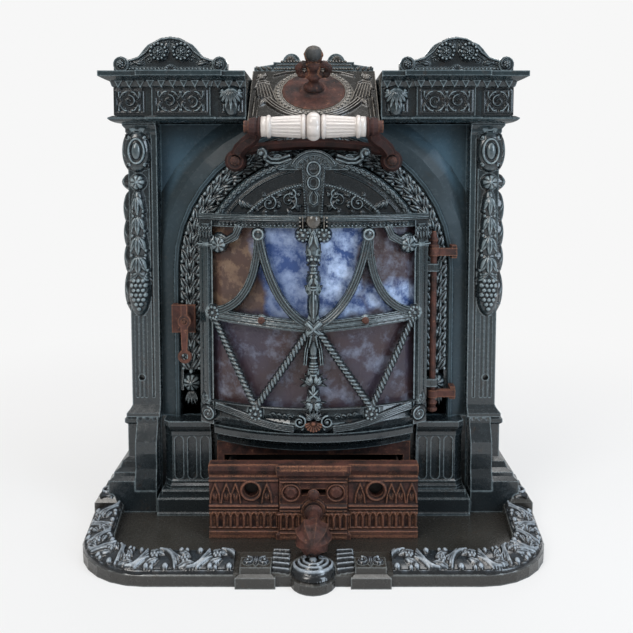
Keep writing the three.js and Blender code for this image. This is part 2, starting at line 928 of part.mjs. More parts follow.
// Pilaster: a moulded post, fluted below, with the hanging garland raised on its face and side
function pilaster() {
  const baseShares = [[1, 0], [1, 0.333], [0.375, 0.667], [0, 1]];
  const headShares = [[0, 0], [0.375, 0.222], [0.375, 0.5], [0.875, 0.778], [0.875, 1]];
  const low = pierTop;
  const high = bodyTop - fit;
  const outline = rectangle(-pilasterOuter, -pilasterInner, pilasterFrontY, panelY - fit);
  const profile = [
    ...sized(baseShares, pilasterMould, low, pilasterBaseTall),
    ...sized(headShares, pilasterMould, high - pilasterBaseTall, pilasterBaseTall),
  ];
  const post = moulded(outline, profile, [1, 2]);
  return join(cut(post, ...pilasterRecesses()), pilasterGarland());
}

const postMiddle = -(pilasterInner + pilasterOuter + innerStrip) / 2;

function pilasterRecesses() {
  const low = pierTop + postFluteRise;
  const high = garlandBottom - postFluteGap;
  const face = pilasterFrontY;
  const axisY = face - postFluteRadius / 3;
  const flutes = [-1, 0, 1].map((place) => {
    const x = postMiddle + place * postFluteSpacing;
    return rod(postFluteRadius, [x, axisY, low], [x, axisY, high], 8);
  });
  const inner = -pilasterInner;
  const strip = block(inner - stripTo, inner - stripFrom, face - over, face + stripDeep, low, bodyTop - stripTopGap);
  const holeZ = pierTop + postHoleRise;
  const hole = rod(postHoleRadius, [postMiddle, face - over, holeZ], [postMiddle, face + postHoleDeep, holeZ], 10);
  return [...flutes, strip, hole];
}

function pilasterGarland() {
  // Down the span, half width, half height and height of the relief
  const frontShares = [
    [0.1, 1, 0.11, 1],
    [0.27, 0.632, 0.0425, 1],
    [0.4, 0.474, 0.085, 0.867],
    [0.51, 0.579, 0.085, 0.867],
    [0.62, 0.684, 0.085, 0.867],
    [0.73, 0.789, 0.085, 0.867],
    [0.88, 0.842, 0.13, 1],
  ];
  const deep = pilasterFrontY + garlandSink;
  const span = garlandTop - garlandBottom;
  const pads = frontShares.map(([down, wide, tall, high]) =>
    bossPlate(postMiddle, garlandTop - span * down, garlandHalf * wide, span * tall, deep, garlandProud * high),
  );
  return join(...pads, sideGarland());
}

// The same garland on the outer face of the post
function sideGarland() {
  const sideShares = [
    [0.1, 1, 0.1],
    [0.27, 0.75, 0.045],
    [0.42, 0.583, 0.1],
    [0.56, 0.667, 0.1],
    [0.7, 0.833, 0.1],
    [0.88, 0.917, 0.12],
  ];
  const span = garlandTop - garlandBottom;
  const middle = (pilasterFrontY + panelY) / 2;
  const levels = [
    [-garlandSink, 1],
    [garlandSink / 2, 1],
    [sideGarlandProud, 0.45],
  ];
  const parts = sideShares.map(([down, wide, tall]) => {
    const z = garlandTop - span * down;
    const half = sideGarlandHalf * wide;
    const rings = levels.map(([out, size]) =>
      ellipse(8).map(
        ([c, s]) => new THREE.Vector3(-pilasterOuter - out, middle - c * half * size, z + s * span * tall * size),
      ),
    );
    return solid(loft(rings));
  });
  return join(...parts);
}

const ellipse = (count) =>
  Array.from({ length: count }, (_, i) => [
    Math.cos((2 * Math.PI * i) / count),
    Math.sin((2 * Math.PI * i) / count),
  ]);

// An oval pad with a rounded top on a front face
function bossPlate(x, z, halfX, halfZ, backAt, proud, count = 8) {
  const levels = [
    [0, 1],
    [0.5, 0.96],
    [1, 0.5],
  ];
  const rings = levels.map(([out, size]) =>
    ellipse(count).map(([c, s]) => new THREE.Vector3(x + c * halfX * size, backAt - out * proud, z + s * halfZ * size)),
  );
  return solid(loft(rings));
}

piece("lower_plate", lowerPlate(), "enamel");
piece("drawer_frame", drawerFrame(), "rust");
pair("runner", runner(), "iron");
piece("apron", apron(), "enamel");
pair("side_wall", sideWall(), "enamel");
piece("back_plate", backPlate(), "iron");
pair("pilaster", pilaster(), "enamel");

// A section of [reach, y] swept up the left leg of the arch, round its crown and down the right leg
const archSteps = 20;
function archSweep(section, radius, legFoot, steps = archSteps) {
  const stops = [{ x: -1, z: 0, foot: legFoot - archCentre }];
  for (let i = 0; i <= steps; i++) {
    const a = Math.PI - (Math.PI * i) / steps;
    stops.push({ x: Math.cos(a), z: Math.sin(a), foot: 0 });
  }
  stops.push({ x: 1, z: 0, foot: legFoot - archCentre });
  const rings = stops.map(({ x, z, foot }) =>
    section.map(([reach, y]) => new THREE.Vector3(x * (radius + reach), y, archCentre + foot + z * (radius + reach))),
  );
  return solid(loft(rings));
}

// The arch as an outline, for pieces cut or filled to its whole width
function archShape(radius, low) {
  const shape = new THREE.Shape();
  shape.moveTo(-radius, low);
  shape.lineTo(radius, low);
  shape.lineTo(radius, archCentre);
  shape.absarc(0, archCentre, radius, 0, Math.PI, false);
  return shape;
}

// Front plate: flat panels and a flared surround that comes forward to the rim of the arch
function frontPlate() {
  const low = capTop + fit;
  const high = bodyTop - fit;
  const half = pilasterInner - fit;
  const back = panelY + wall;
  const bounds = block(-half, half, rimY - over, back, low, high);
  const face = block(-half, half, panelY, back, low, high);
  const spread = flareRadius - rimRadius;
  const section = [
    [0, rimY + rimEdge],
    [rimEdge, rimY - rimProud],
    [rimWidth - rimEdge, rimY - rimProud],
    [rimWidth, rimY + rimFall],
    [spread / 2, rimY + flareFall],
    [spread, panelY],
    [spread, back],
    [0, back],
  ];
  const flare = archSweep(section, rimRadius, low - over);
  const doorway = facing(archShape(rimRadius, low - over), back + over, back - rimY + 4 * over, archSteps);
  return cut(join(face, flare).intersect(bounds), doorway);
}

// Openwork garland between the rim and the fire box: leaves in pairs over a berry, tip to tail,
// ending on each side in a rosette and a tassel
function leafOutline(length, width, count = 3) {
  const upper = Array.from({ length: count + 1 }, (_, i) => {
    const t = i / count;
    return [(t - 0.5) * length, (Math.sin(Math.PI * t ** 0.8) * width) / 2];
  });
  const lower = upper.slice(1, -1).reverse().map(([x, y]) => [x, -y]);
  return [...upper, ...lower];
}

function leaf(x, z, angle, length, width, yBackAt, thick) {
  const outline = leafOutline(length, width).map(([a, b]) => [
    x + a * Math.cos(angle) - b * Math.sin(angle),
    z + a * Math.sin(angle) + b * Math.cos(angle),
  ]);
  const middle = [x, z];
  const rings = [
    [0, 1],
    [1, 0.6],
  ].map(([out, size]) =>
    outline.map(([px, pz]) => {
      const sx = middle[0] + (px - middle[0]) * size;
      const sz = middle[1] + (pz - middle[1]) * size;
      return new THREE.Vector3(sx, yBackAt - out * thick, sz);
    }),
  );
  return solid(loft(rings));
}

function garlandRing() {
  const middle = (ringInner + rimRadius) / 2;
  const band = rimRadius - fit - ringInner;
  const back = ringY + ringThick;
  const foot = ringFoot + tasselTall;
  const vineFront = ringY + vineDrop;
  const vineSection = [[-vineHalf, back], [-vineHalf, vineFront], [vineHalf, vineFront], [vineHalf, back]];
  const railFront = back - railThick;
  const railSection = [[-railHalf, back], [-railHalf, railFront], [railHalf, railFront], [railHalf, back]];
  const parts = [archSweep(vineSection, middle, foot), archSweep(railSection, rimRadius - fit - railHalf, foot)];
  const legLength = archCentre - foot - 2 * rosetteRadius;
  const pitch = (Math.PI * middle + 2 * legLength) / leafCount;
  for (let i = 0; i < leafCount; i++) {
    const { x, z, heading } = alongArch(pitch * (i + 0.5), middle, legLength);
    for (const side of [-1, 1]) {
      const off = side * band * 0.2;
      const outX = x + Math.cos(heading + Math.PI / 2) * off;
      const outZ = z + Math.sin(heading + Math.PI / 2) * off;
      parts.push(leaf(outX, outZ, heading + side * 0.42, pitch, band * 0.44, back, ringThick));
    }
  }
  for (const side of [-1, 1]) {
    const x = side * middle;
    parts.push(bossPlate(x, foot + rosetteRadius, rosetteRadius, rosetteRadius, back, ringThick + rosetteProud));
    parts.push(leaf(x, ringFoot + tasselRise, Math.PI / 2, tasselLength, tasselWidth, back, ringThick));
  }
  const room = facing(archShape(rimRadius - fit, 0), back + over, 2 * ringThick + over, archSteps);
  return join(...parts).intersect(room);
}

function alongArch(s, radius, legLength) {
  if (s < legLength) return { x: -radius, z: archCentre - legLength + s, heading: Math.PI / 2 };
  const round = s - legLength;
  if (round < Math.PI * radius) {
    const a = Math.PI - round / radius;
    return { x: radius * Math.cos(a), z: archCentre + radius * Math.sin(a), heading: a - Math.PI / 2 };
  }
  return { x: radius, z: archCentre - (round - Math.PI * radius), heading: -Math.PI / 2 };
}

piece("front_plate", frontPlate(), "enamel");
piece("arch_garland", garlandRing(), "enamel");

// Fire box: an arched shell open to the front, with the flue at the back and the chute in its crown
const fireFoot = doorBottom;
function fireBox() {
  const deep = fireBackY - fireFrontY;
  const outer = facing(archShape(fireRadius, fireFoot), fireBackY, deep, archSteps);
  const inner = facing(archShape(fireRadius - fireWall, fireFoot + fireWall), fireBackY - fireWall, deep + over, archSteps);
  const flue = rod(flueRadius, [0, fireBackY - fireWall - over, flueHeight], [0, fireBackY + over, flueHeight], 24);
  const mouth = chute(0, 0, archCentre + fireRadius / 2, over);
  const ashHole = block(-grateHalf + wall, grateHalf - wall, grateFrontY + wall, grateBackY - wall, 0, fireFoot + 2 * over);
  return cut(outer, inner, flue, mouth, ashHole);
}

const slopeOut = new THREE.Vector3(0, -Math.sin(hoodAngle), Math.cos(hoodAngle));
const slopeUp = new THREE.Vector3(0, Math.cos(hoodAngle), Math.sin(hoodAngle));
const lidCentre = new THREE.Vector3(0, hoodLipY, hoodLip).addScaledVector(slopeUp, lidUp);

// A round duct from the slope of the hood, back behind the front plate and down to the fire box
function chute(grow, sink, foot, drop = 0) {
  const radius = chuteRadius + grow;
  const upper = lidCentre.clone().addScaledVector(slopeOut, -hoodThick - fit - sink);
  const kneeZ = bodyTop + over;
  const middles = [upper, new THREE.Vector3(0, chuteFootY, kneeZ), new THREE.Vector3(0, chuteFootY, foot - drop)];
  const across = [slopeUp, new THREE.Vector3(0, 1, 0), new THREE.Vector3(0, 1, 0)];
  const rings = middles.map((middle, i) =>
    ellipse(18).map(([c, s]) =>
      middle
        .clone()
        .add(new THREE.Vector3(c * radius, 0, 0))
        .addScaledVector(across[i], s * radius),
    ),
  );
  return solid(loft(rings));
}

function chutePipe() {
  const foot = archCentre + fireRadius / 2;
  const reach = chute(0, -over, foot, over);
  const crown = facing(archShape(fireRadius + fit, fireFoot), fireBackY + over, fireBackY - fireFrontY, archSteps);
  return cut(chute(chuteWall, 0, foot), reach, crown);
}

// Flue collar: a spigot through the back plate with a flange against the fire box
function flueCollar() {
  const start = fireBackY + fit;
  const long = backY - start;
  const bore = flueRadius - flueStep;
  const edge = flueRadius + flueWall;
  const section = [
    [bore, 0],
    [bore, long],
    [edge - flueStep, long],
    [edge - flueStep, long - flueSpigot],
    [edge, long - flueSpigot - flueStep],
    [edge, flangeThick],
    [edge + flangeReach, flangeThick],
    [edge + flangeReach, 0],
    [bore, 0],
  ].reverse();
  const geometry = new THREE.LatheGeometry(section.map(([r, l]) => new THREE.Vector2(r, l)), 20);
  geometry.translate(0, start, flueHeight);
  return solid(geometry);
}

// Cast liners standing on the floor of the fire box, and the grate between them
const linerFoot = fireFoot + fireWall + fit;
function linerSide() {
  const x0 = -fireRadius + fireWall + fit;
  return block(x0, x0 + linerThick, grateFrontY, fireBackY - fireWall - linerThick - 2 * fit, linerFoot, linerFoot + linerHeight);
}

function linerBack() {
  const half = fireRadius - fireWall - fit;
  const back = fireBackY - fireWall - fit;
  return block(-half, half, back - linerThick, back, linerFoot, linerFoot + linerHeight);
}

function grate() {
  const top = linerFoot + grateTall;
  const inner = grateHalf - grateFrame;
  const outside = block(-grateHalf, grateHalf, grateFrontY, grateBackY, linerFoot, top);
  const room = block(-inner, inner, grateFrontY + grateFrame, grateBackY - grateFrame, linerFoot - over, top + over);
  const pitch = (2 * grateHalf) / (grateBars + 1);
  const half = grateBarWidth / 2;
  const bars = Array.from({ length: grateBars }, (_, i) => {
    const x = -grateHalf + pitch * (i + 1);
    return block(x - half, x + half, grateFrontY + over, grateBackY - over, linerFoot, top);
  });
  return join(cut(outside, room), ...bars);
}

piece("fire_box", fireBox(), "iron");
piece("charging_chute", chutePipe(), "iron");
piece("flue_collar", flueCollar(), "iron");
pair("liner", linerSide(), "iron");
piece("liner_back", linerBack(), "iron");
piece("grate", grate(), "iron");

// Entablature: frieze block with torus, dentils and cornice, the middle part stepping forward
function entablaturePart(outline, still) {
  const torusShares = [[0, 0], [0.556, 0.2], [1, 0.5], [1, 0.7], [0.333, 1], [0, 1]];
  const corniceShares = [[0, 0], [0.15, 0.083], [0.25, 0.375], [0.6, 0.5], [1, 0.667], [1, 1]];
  const profile = [
    ...sized(torusShares, torusReach, bodyTop, torusTall),
    ...sized(corniceShares, corniceReach, friezeTop, corniceTall),
  ];
  return moulded(outline, profile, still);
}

function entablature() {
  const back = bodyBackY - fit;
  const main = entablaturePart(rectangle(-friezeHalf, -friezeInner, friezeFrontY, back), [1, 2]);
  const middle = entablaturePart(
    rectangle(-blockOuter, -blockInner, friezeFrontY - blockProud, friezeFrontY + corniceReach),
    [2],
  );
  const room = block(
    -friezeHalf + wall,
    -friezeInner - wall,
    friezeFrontY + wall,
    back - wall,
    bodyTop - over,
    topHeight - wall,
  );
  return cut(join(main, middle, ...dentils()), room);
}

// Triangular teeth under the cornice
function dentils() {
  const pitch = (friezeHalf - friezeInner) / dentilCount;
  const point = friezeTop - dentilDrop;
  const base = point + dentilTall;
  const half = pitch * 0.35;
  return Array.from({ length: dentilCount }, (_, i) => {
    const x = -friezeHalf + pitch * (i + 0.5);
    const front = x > -blockOuter && x < -blockInner ? friezeFrontY - blockProud : friezeFrontY;
    const shape = new THREE.Shape(plan([x - half, base], [x, point], [x + half, base]));
    return facing(shape, front + over, over + dentilProud);
  });
}

// Pediment: an ogee gable with a roll at each end and a pair of rosettes
function pediment() {
  const x = -pedimentCentre;
  const h = pedimentHeight;
  const w = pedimentHalf;
  const shape = new THREE.Shape();
  shape.moveTo(x - w, 0);
  shape.lineTo(x + w, 0);
  shape.lineTo(x + w, h * 0.16);
  shape.bezierCurveTo(x + w * 0.62, h * 0.2, x + w * 0.58, h * 0.44, x + w * 0.46, h * 0.66);
  shape.bezierCurveTo(x + w * 0.38, h * 0.88, x + w * 0.14, h * 0.88, x, h);
  shape.bezierCurveTo(x - w * 0.14, h * 0.88, x - w * 0.38, h * 0.88, x - w * 0.46, h * 0.66);
  shape.bezierCurveTo(x - w * 0.58, h * 0.44, x - w * 0.62, h * 0.2, x - w, h * 0.16);
  const gable = facing(shape, pedimentY + pedimentThick, pedimentThick, 5);
  const rolls = [-1, 1].map((side) => {
    const cx = x + side * (w - rollRadius);
    const back = pedimentY + pedimentThick + rollProud;
    return rod(rollRadius, [cx, pedimentY - rollProud, rollRadius], [cx, back, rollRadius], 14);
  });
  const rosetteY = pedimentY + gableRosetteSink;
  const rosettes = [-1, 1].map((side) =>
    bossPlate(x + side * w * 0.2, h * 0.56, gableRosette, gableRosette, rosetteY, gableRosetteProud),
  );
  const made = join(gable, ...rolls, ...rosettes);
  return solid(geometryOf(made).translate(0, 0, topHeight + fit));
}

function topPlate() {
  const half = friezeInner - fit;
  return block(-half, half, hoodTopY + hoodFlat + fit, bodyBackY - fit, topHeight - wall, topHeight);
}

pair("entablature", entablature(), "enamel");
pair("pediment", pediment(), "enamel");
piece("top_plate", topPlate(), "enamel");

// Hood: a sloped plate between cheeks, with a round seat for the lid
function hood() {
  const slope = (along, out) => [
    hoodLipY + along * Math.cos(hoodAngle) - out * Math.sin(hoodAngle),
    hoodLip + along * Math.sin(hoodAngle) + out * Math.cos(hoodAngle),
  ];
  const rear = hoodTopY + hoodFlat;
  const upper = [[rear, topHeight - wall], [rear, hoodTopZ], slope(hoodLength, 0)];
  const outline = [slope(0, 0), slope(0, -hoodThick), slope(hoodLength, -hoodThick), ...upper];
  const skin = sideways(outline, -hoodHalf, hoodHalf);
  const foot = bodyTop + fit;
  const lipBack = hoodLipY + hoodLipDeep;
  const cheekTop = [[rear, foot], [rear, hoodTopZ - cheekSink], slope(hoodLength, -cheekSink)];
  const cheekOutline = [slope(0, -cheekSink), [lipBack, foot], ...cheekTop];
  const cheeks = [-hoodHalf, hoodHalf - wall].map((x) => sideways(cheekOutline, x, x + wall));
  const lipOutline = [[hoodLipY, hoodLip], [hoodLipY, foot], [lipBack, foot], [lipBack, hoodLip]];
  const lip = sideways(lipOutline, -hoodHalf, hoodHalf);
  return cut(join(skin, ...cheeks, lip, lidSeat()), ...lidWells());
}

// Raised ring round the lid, and the cutters of its well
const onSlope = (profile, sides) => turned(profile, lidCentre.toArray(), slopeOut.toArray(), sides);
function lidSeat() {
  const seatShares = [[1, -0.7], [1, 0.4], [0.69, 1], [0.15, 1]];
  const profile = sized(seatShares, seatReach, 0, seatRise).map(([reach, out]) => [lidRadius + reach, out]);
  return onSlope(profile, 20);
}

function lidWells() {
  const well = onSlope([[lidRadius + lidGap, 0], [lidRadius + lidGap, seatRise + over]], 20);
  const hole = onSlope([[chuteRadius, -hoodThick - over], [chuteRadius, seatRise + over]], 20);
  return [well, hole];
}

// Beaded gallery on the top edge of the hood, with a hump on each side and stepped shoulders
function gallery() {
  const shoulderShares = [0.33, 0.61, 0.83, 0.78];
  const low = hoodTopZ + fit;
  const [side, shoulder, rail, hump] = shoulderShares.map((share) => low + share * galleryHeight);
  const w = galleryHalf;
  const end = hoodHalf - galleryInset;
  const shape = new THREE.Shape();
  shape.moveTo(-end, low);
  shape.lineTo(end, low);
  shape.lineTo(end, side);
  shape.lineTo(w, shoulder);
  shape.lineTo(w, rail);
  shape.lineTo(w * 0.8, rail);
  shape.absarc(w * 0.55, hump, w * 0.22, 0, Math.PI, false);
  shape.lineTo(w * 0.2, rail);
  shape.lineTo(-w * 0.2, rail);
  shape.absarc(-w * 0.55, hump, w * 0.22, 0, Math.PI, false);
  shape.lineTo(-w, rail);
  shape.lineTo(-w, shoulder);
  shape.lineTo(-end, side);
  return facing(shape, hoodTopY + hoodFlat - cheekSink, galleryThick, 5);
}

// Lid with a raised boss, held down only by its weight, and the openwork knob on its neck
function lid() {
  const domeShares = [[1, 0.11], [0.83, 0.44], [0.5, 0.56], [0.33, 1]];
  const plug = chuteRadius - lidPlugGap;
  const rim = [[lidRadius, fit], [lidRadius, lidThick - lidEdge / 2], [lidRadius - lidEdge, lidThick]];
  const dome = sized(domeShares, lidBossRadius, lidThick, lidBossTall);
  return onSlope([[plug, -lidPlug], [plug, fit], ...rim, ...dome], 20);
}

function lidKnob() {
  const neckShares = [[0.78, 0], [1, 0.125], [0.56, 0.33], [0.56, 0.67], [1, 0.83], [0.89, 1]];
  const foot = lidCentre.clone().addScaledVector(slopeOut, lidThick + lidBossTall + fit);
  const onFoot = (profile, sides) => turned(profile, foot.toArray(), slopeOut.toArray(), sides);
  const hub = foot.clone().addScaledVector(slopeOut, hubRise);
  const lobes = [0, 1, 2].map((i) => {
    const a = (i * 2 * Math.PI) / 3;
    const off = new THREE.Vector3(Math.sin(a) * lobeReach, 0, 0).addScaledVector(slopeOut, Math.cos(a) * lobeReach);
    const ring = new THREE.TorusGeometry(lobeRadius, lobeWire, 4, 9);
    ring.applyQuaternion(new THREE.Quaternion().setFromUnitVectors(new THREE.Vector3(0, 0, 1), slopeUp));
    const at = hub.clone().add(off);
    return solid(ring.translate(at.x, at.y, at.z));
  });
  const core = new THREE.SphereGeometry(hubRadius, 8, 5).translate(hub.x, hub.y, hub.z);
  const stem = onFoot([[hubStem, neckTall * 0.9], [hubStem, hubRise]], 10);
  return join(onFoot(sized(neckShares, neckRadius, 0, neckTall), 12), stem, solid(core), ...lobes);
}

piece("hood", hood(), "enamel");
piece("gallery", gallery(), "enamel");
piece("lid", lid(), "rust");
piece("lid_knob", lidKnob(), "rust");

// Door. A section of [outwards, z] swept along the bow: outwards is away from the room's side of the face
const bowSteps = 10;
const bowGrid = Array.from({ length: bowSteps + 1 }, (_, i) => doorHalf * ((2 * i) / bowSteps - 1));
const bowStops = (half) => [-half, ...bowGrid.filter((x) => Math.abs(x) < half - fit), half];

// The bow between two stops is straight, so a short rail ends on the same facet as a long one
function bowFacet(x) {
  const i = Math.min(Math.max(Math.floor(((x / doorHalf + 1) * bowSteps) / 2), 0), bowSteps - 1);
  const share = (x - bowGrid[i]) / (bowGrid[i + 1] - bowGrid[i]);
  return bowY(bowGrid[i]) * (1 - share) + bowY(bowGrid[i + 1]) * share;
}

function bowRail(section, half) {
  const rings = bowStops(half).map((x) => {
    return section.map(([reach, z]) => new THREE.Vector3(x, bowFacet(x) - reach, z));
  });
  return solid(loft(rings));
}

// A flat piece of relief drawn in X and Z, bent to the bow of the door
function bent(made) {
  const geometry = geometryOf(made).toNonIndexed();
  const spot = geometry.attributes.position;
  for (let i = 0; i < spot.count; i++) spot.setY(i, spot.getY(i) + bowY(spot.getX(i)));
  return solid(geometry);
}

const doorLow = doorBottom + fit;

// A block in slices along X, so that it can follow the bow
function slices(x0, x1, y0, y1, z0, z1, count = 4) {
  const rings = Array.from({ length: count + 1 }, (_, i) => {
    const x = x0 + ((x1 - x0) * i) / count;
    return [[y0, z0], [y1, z0], [y1, z1], [y0, z1]].map(([y, z]) => new THREE.Vector3(x, y, z));
  });
  return solid(loft(rings));
}

function doorFrame() {
  const t = -doorThick;
  const headShares = [[0, 0], [0, 0.286], [0.4, 0.476], [1, 0.714], [1, 1]];
  const sillShares = [[-0.8, 0], [0.4, 0.2], [0.8, 0.4], [0, 0.55], [0.6, 0.75], [0, 1]];
  const head = sized(headShares, doorCornice, glassTop, headTall);
  const cornice = bowRail([[t, doorTop], [t, glassTop], ...head], doorHalf);
  const foot = sized(sillShares, doorCornice, doorLow, glassBottom - doorLow);
  const sill = bowRail([[t, glassBottom], [t, doorLow], ...foot], doorHalf);
  return join(cornice, sill, doorStile(-1), doorStile(1), doorShelf(), ...knuckles());
}

// Stile with its colonnette, the capital over it and the volute at its foot
function doorStile(side) {
  const x = side * (doorHalf - stileWidth / 2);
  const half = stileWidth / 2;
  const panel = slices(x - half, x + half, -stileProud, doorThick, doorLow, doorTop);
  const column = rod(columnRadius, [x, -columnSink, glassBottom - columnTail], [x, -columnSink, glassTop + columnTail], 10);
  const capital = block(x - half, x + half, -capitalProud, over, glassTop - capitalTall, glassTop);
  const voluteX = side * (doorHalf - voluteRadius);
  const volute = bossPlate(voluteX, glassBottom - voluteDrop, voluteRadius, voluteRadius, 0, voluteProud);
  return bent(join(panel, column, capital, volute));
}

// Flat top of the door between its bowed cornice and the lunette
function doorShelf() {
  const half = doorHalf - shelfInset;
  const inset = doorThick - shelfStep;
  const outline = bowPlan(half, -inset, bowY(half, inset) + shelfInset, 12);
  const rings = [glassTop + headTall * 0.38, doorTop].map((z) => outline.map((p) => new THREE.Vector3(p.x, p.y, z)));
  return solid(loft(rings));
}

// Two straps on the right stile that turn on the hinge rod
function knuckles() {
  return [lowKnuckle, highKnuckle].map((z) => {
    const radius = hingeRodRadius + knuckleWall;
    const eye = turned([[radius, 0], [radius, knuckleTall]], [hingeX, hingeY, z], [0, 0, 1], 16);
    const inner = doorHalf - stileWidth / 2;
    const strap = block(inner, hingeX, doorY + knuckleInset, doorY + doorThick, z, z + knuckleTall);
    const bore = rod(hingeRodRadius + fit, [hingeX, hingeY, z - over], [hingeX, hingeY, z + knuckleTall + over], 16);
    return cut(join(eye, strap), bore);
  });
}

// Lunette over the door: mouldings concentric with the arch round a field with a keystone panel
function lunette() {
  const low = doorTop + fit;
  const back = doorY + lunetteThick;
  const bounds = block(-2 * doorHalf, 2 * doorHalf, doorY - doorBow, back + over, low, topHeight);
  const foot = archCentre - over;
  const top = archCentre + lunetteRadius;
  const field = facing(archShape(lunetteRadius - lunetteInset, foot), back, lunetteThick, archSteps);
  const mouldShares = [[-1, 0.25], [-0.75, 1], [-0.25, 1], [0, 0]];
  const moulding = sized(mouldShares, lunetteMould, doorY, -lunetteProud);
  const outer = archSweep([[-lunetteMould, back], ...moulding, [0, back]], lunetteRadius, foot);
  const beadFront = doorY - beadProud;
  const beadBack = doorY + beadProud;
  const beadSection = [[-beadHalf, beadBack], [-beadHalf, beadFront], [beadHalf, beadFront], [beadHalf, beadBack]];
  const bead = archSweep(beadSection, lunetteRadius - beadInset, foot);
  const keyTop = top - keyInset;
  const keyOutline = plan([-keyFootHalf, low - over], [keyFootHalf, low - over], [keyHeadHalf, keyTop], [-keyHeadHalf, keyTop]);
  const key = facing(new THREE.Shape(keyOutline), doorY + keySink, keyThick);
  return join(field, outer, bead, key, ...lunetteCrest(top)).intersect(bounds);
}

// Crest with a volute ear at each end
function lunetteCrest(top) {
  const bow = arc(0, top - crestRadius + crestHeight, crestRadius, 0.4, Math.PI - 0.4, 8);
  const foot = top - crestDrop;
  const outline = plan(...bow, [-crestHalf, foot], [crestHalf, foot]);
  const back = doorY + crestSink;
  const crest = facing(new THREE.Shape(outline), back, crestThick);
  const earZ = top - earDrop;
  const ears = [-crestHalf, crestHalf].map((x) => rod(earRadius, [x, back, earZ], [x, doorY - earProud, earZ], 12));
  return [crest, ...ears];
}

// Sheet of mica behind the tracery, and the strips that hold it
const micaHalf = doorHalf - stileWidth / 2;
function mica() {
  const front = -doorThick - 2 * fit;
  const back = front - micaThick;
  const low = glassBottom - micaLap;
  const high = glassTop + micaTopLap;
  return bowRail([[front, low], [back, low], [back, high], [front, high]], micaHalf);
}

function micaStrip(low) {
  const front = -doorThick - micaThick - 3 * fit;
  const back = front - stripThick;
  const high = low + stripWidth;
  return bowRail([[front, low], [back, low], [back, high], [front, high]], micaHalf);
}

// Tracery of the door. Every rib is a flat section bent to the bow.
const glassHalf = doorHalf - stileWidth;
const knot = [0, knotHeight];
function rib(points, width, thick) {
  const flat = points.map(([x, z]) => new THREE.Vector2(x, z));
  const parts = flat.map((p, i) => {
    const before = flat[Math.max(i - 1, 0)];
    const after = flat[Math.min(i + 1, flat.length - 1)];
    const along = after.clone().sub(before).normalize();
    return { p, side: new THREE.Vector2(-along.y, along.x) };
  });
  const rings = parts.map(({ p, side }) => {
    const spot = (across, out) =>
      new THREE.Vector3(p.x + side.x * across * width, -out, p.y + side.y * across * width);
    const deep = discSink - doorThick;
    return [spot(-0.5, deep), spot(-0.5, thick * 0.6), spot(0, thick), spot(0.5, thick * 0.6), spot(0.5, deep)];
  });
  return bent(solid(loft(rings)));
}

function curve(from, pull, to, count = 6) {
  const line = new THREE.QuadraticBezierCurve(new THREE.Vector2(...from), new THREE.Vector2(...pull), new THREE.Vector2(...to));
  return line.getPoints(count).map((p) => [p.x, p.y]);
}

// Twisted rope: a square section that turns as it runs
function rope(from, to) {
  const a = new THREE.Vector2(...from);
  const b = new THREE.Vector2(...to);
  const steps = ropeTwists * 3;
  const along = b.clone().sub(a).normalize();
  const rings = Array.from({ length: steps + 1 }, (_, i) => {
    const p = a.clone().lerp(b, i / steps);
    const turn = (ropeTwists * Math.PI * i) / steps;
    return [0, 1, 2, 3].map((k) => {
      const angle = turn + (k * Math.PI) / 2;
      const reach = ropeRadius * (k % 2 ? 0.72 : 1.1);
      const across = Math.cos(angle) * reach;
      return new THREE.Vector3(p.x - along.y * across, Math.sin(angle) * reach, p.y + along.x * across);
    });
  });
  return bent(solid(loft(rings)));
}

function disc(x, z, radius, thick = discProud) {
  return bent(bossPlate(x, z, radius, radius, discSink, thick, 10));
}

function tracery() {
  const sides = [-1, 1].flatMap((side) => [...traceryRibbons(side), ...traceryDiscs(side)]);
  return join(...sides, stem());
}

// A point of the glass: a share of its half width and of its height
const onGlass = (side, wideShare, upShare) => [side * wideShare * glassHalf, glassBottom + upShare * glassTall];

function traceryRibbons(side) {
  const spot = (wideShare, upShare) => onGlass(side, wideShare, upShare);
  const ring = spot(0.53, 0.98);
  const swag = curve(ring, spot(0.53, 0.57), spot(1, 0.515));
  const inner = curve(ring, spot(0.405, 0.545), knot);
  const bar = curve(spot(1, 0.505), spot(0.5, 0.485), knot, 8);
  const low = spot(0.565, 0);
  return [
    rib(swag, ribbonWidth, ribbonThick),
    rib(inner, ribbonWidth, ribbonThick),
    rib(bar, ribbonWidth * 1.4, ribbonThick),
    rib([spot(1.026, 0.939), spot(0.93, 0.9), spot(0.76, 0.95), spot(0.72, 1.01)], ribbonWidth, ribbonThick),
    rope(spot(0.98, 0.48), low),
    rope(spot(0.06, 0.43), low),
  ];
}

// Rosettes and rings where the ribbons end: place on the glass, and share of the usual radius
function traceryDiscs(side) {
  const discShares = [
    [1, 0.515, 1],
    [0.565, -0.03, 1],
    [0.53, 0.965, 0.91],
    [0.1, 0.965, 1],
    [0.93, 0.9, 1.18],
  ];
  return discShares.map(([wide, up, size]) => disc(...onGlass(side, wide, up), discRadius * size));
}

// Stem of pods and bells down the middle, with the knot and the tassel
function stem() {
  const stemShares = [
    [0.23, 0],
    [1, 0.03],
    [0.385, 0.12],
    [0.69, 0.2],
    [0.385, 0.3],
    [0.615, 0.36],
    [0.385, 0.42],
    [1, 0.47],
    [0.46, 0.54],
    [0.385, 0.62],
    [0.92, 0.66],
    [0.46, 0.74],
    [0.31, 0.78],
    [0.85, 0.86],
    [0.54, 0.93],
    [0.85, 1],
  ];
  const rings = sized(stemShares, stemRadius, glassBottom, glassTall).map(([r, z]) => {
    const deep = Math.min(r * 0.6, stemRadius * 0.49);
    return ellipse(6).map(([c, s]) => new THREE.Vector3(c * r, s * deep - stemSink, z));
  });
  return bent(solid(loft(rings)));
}

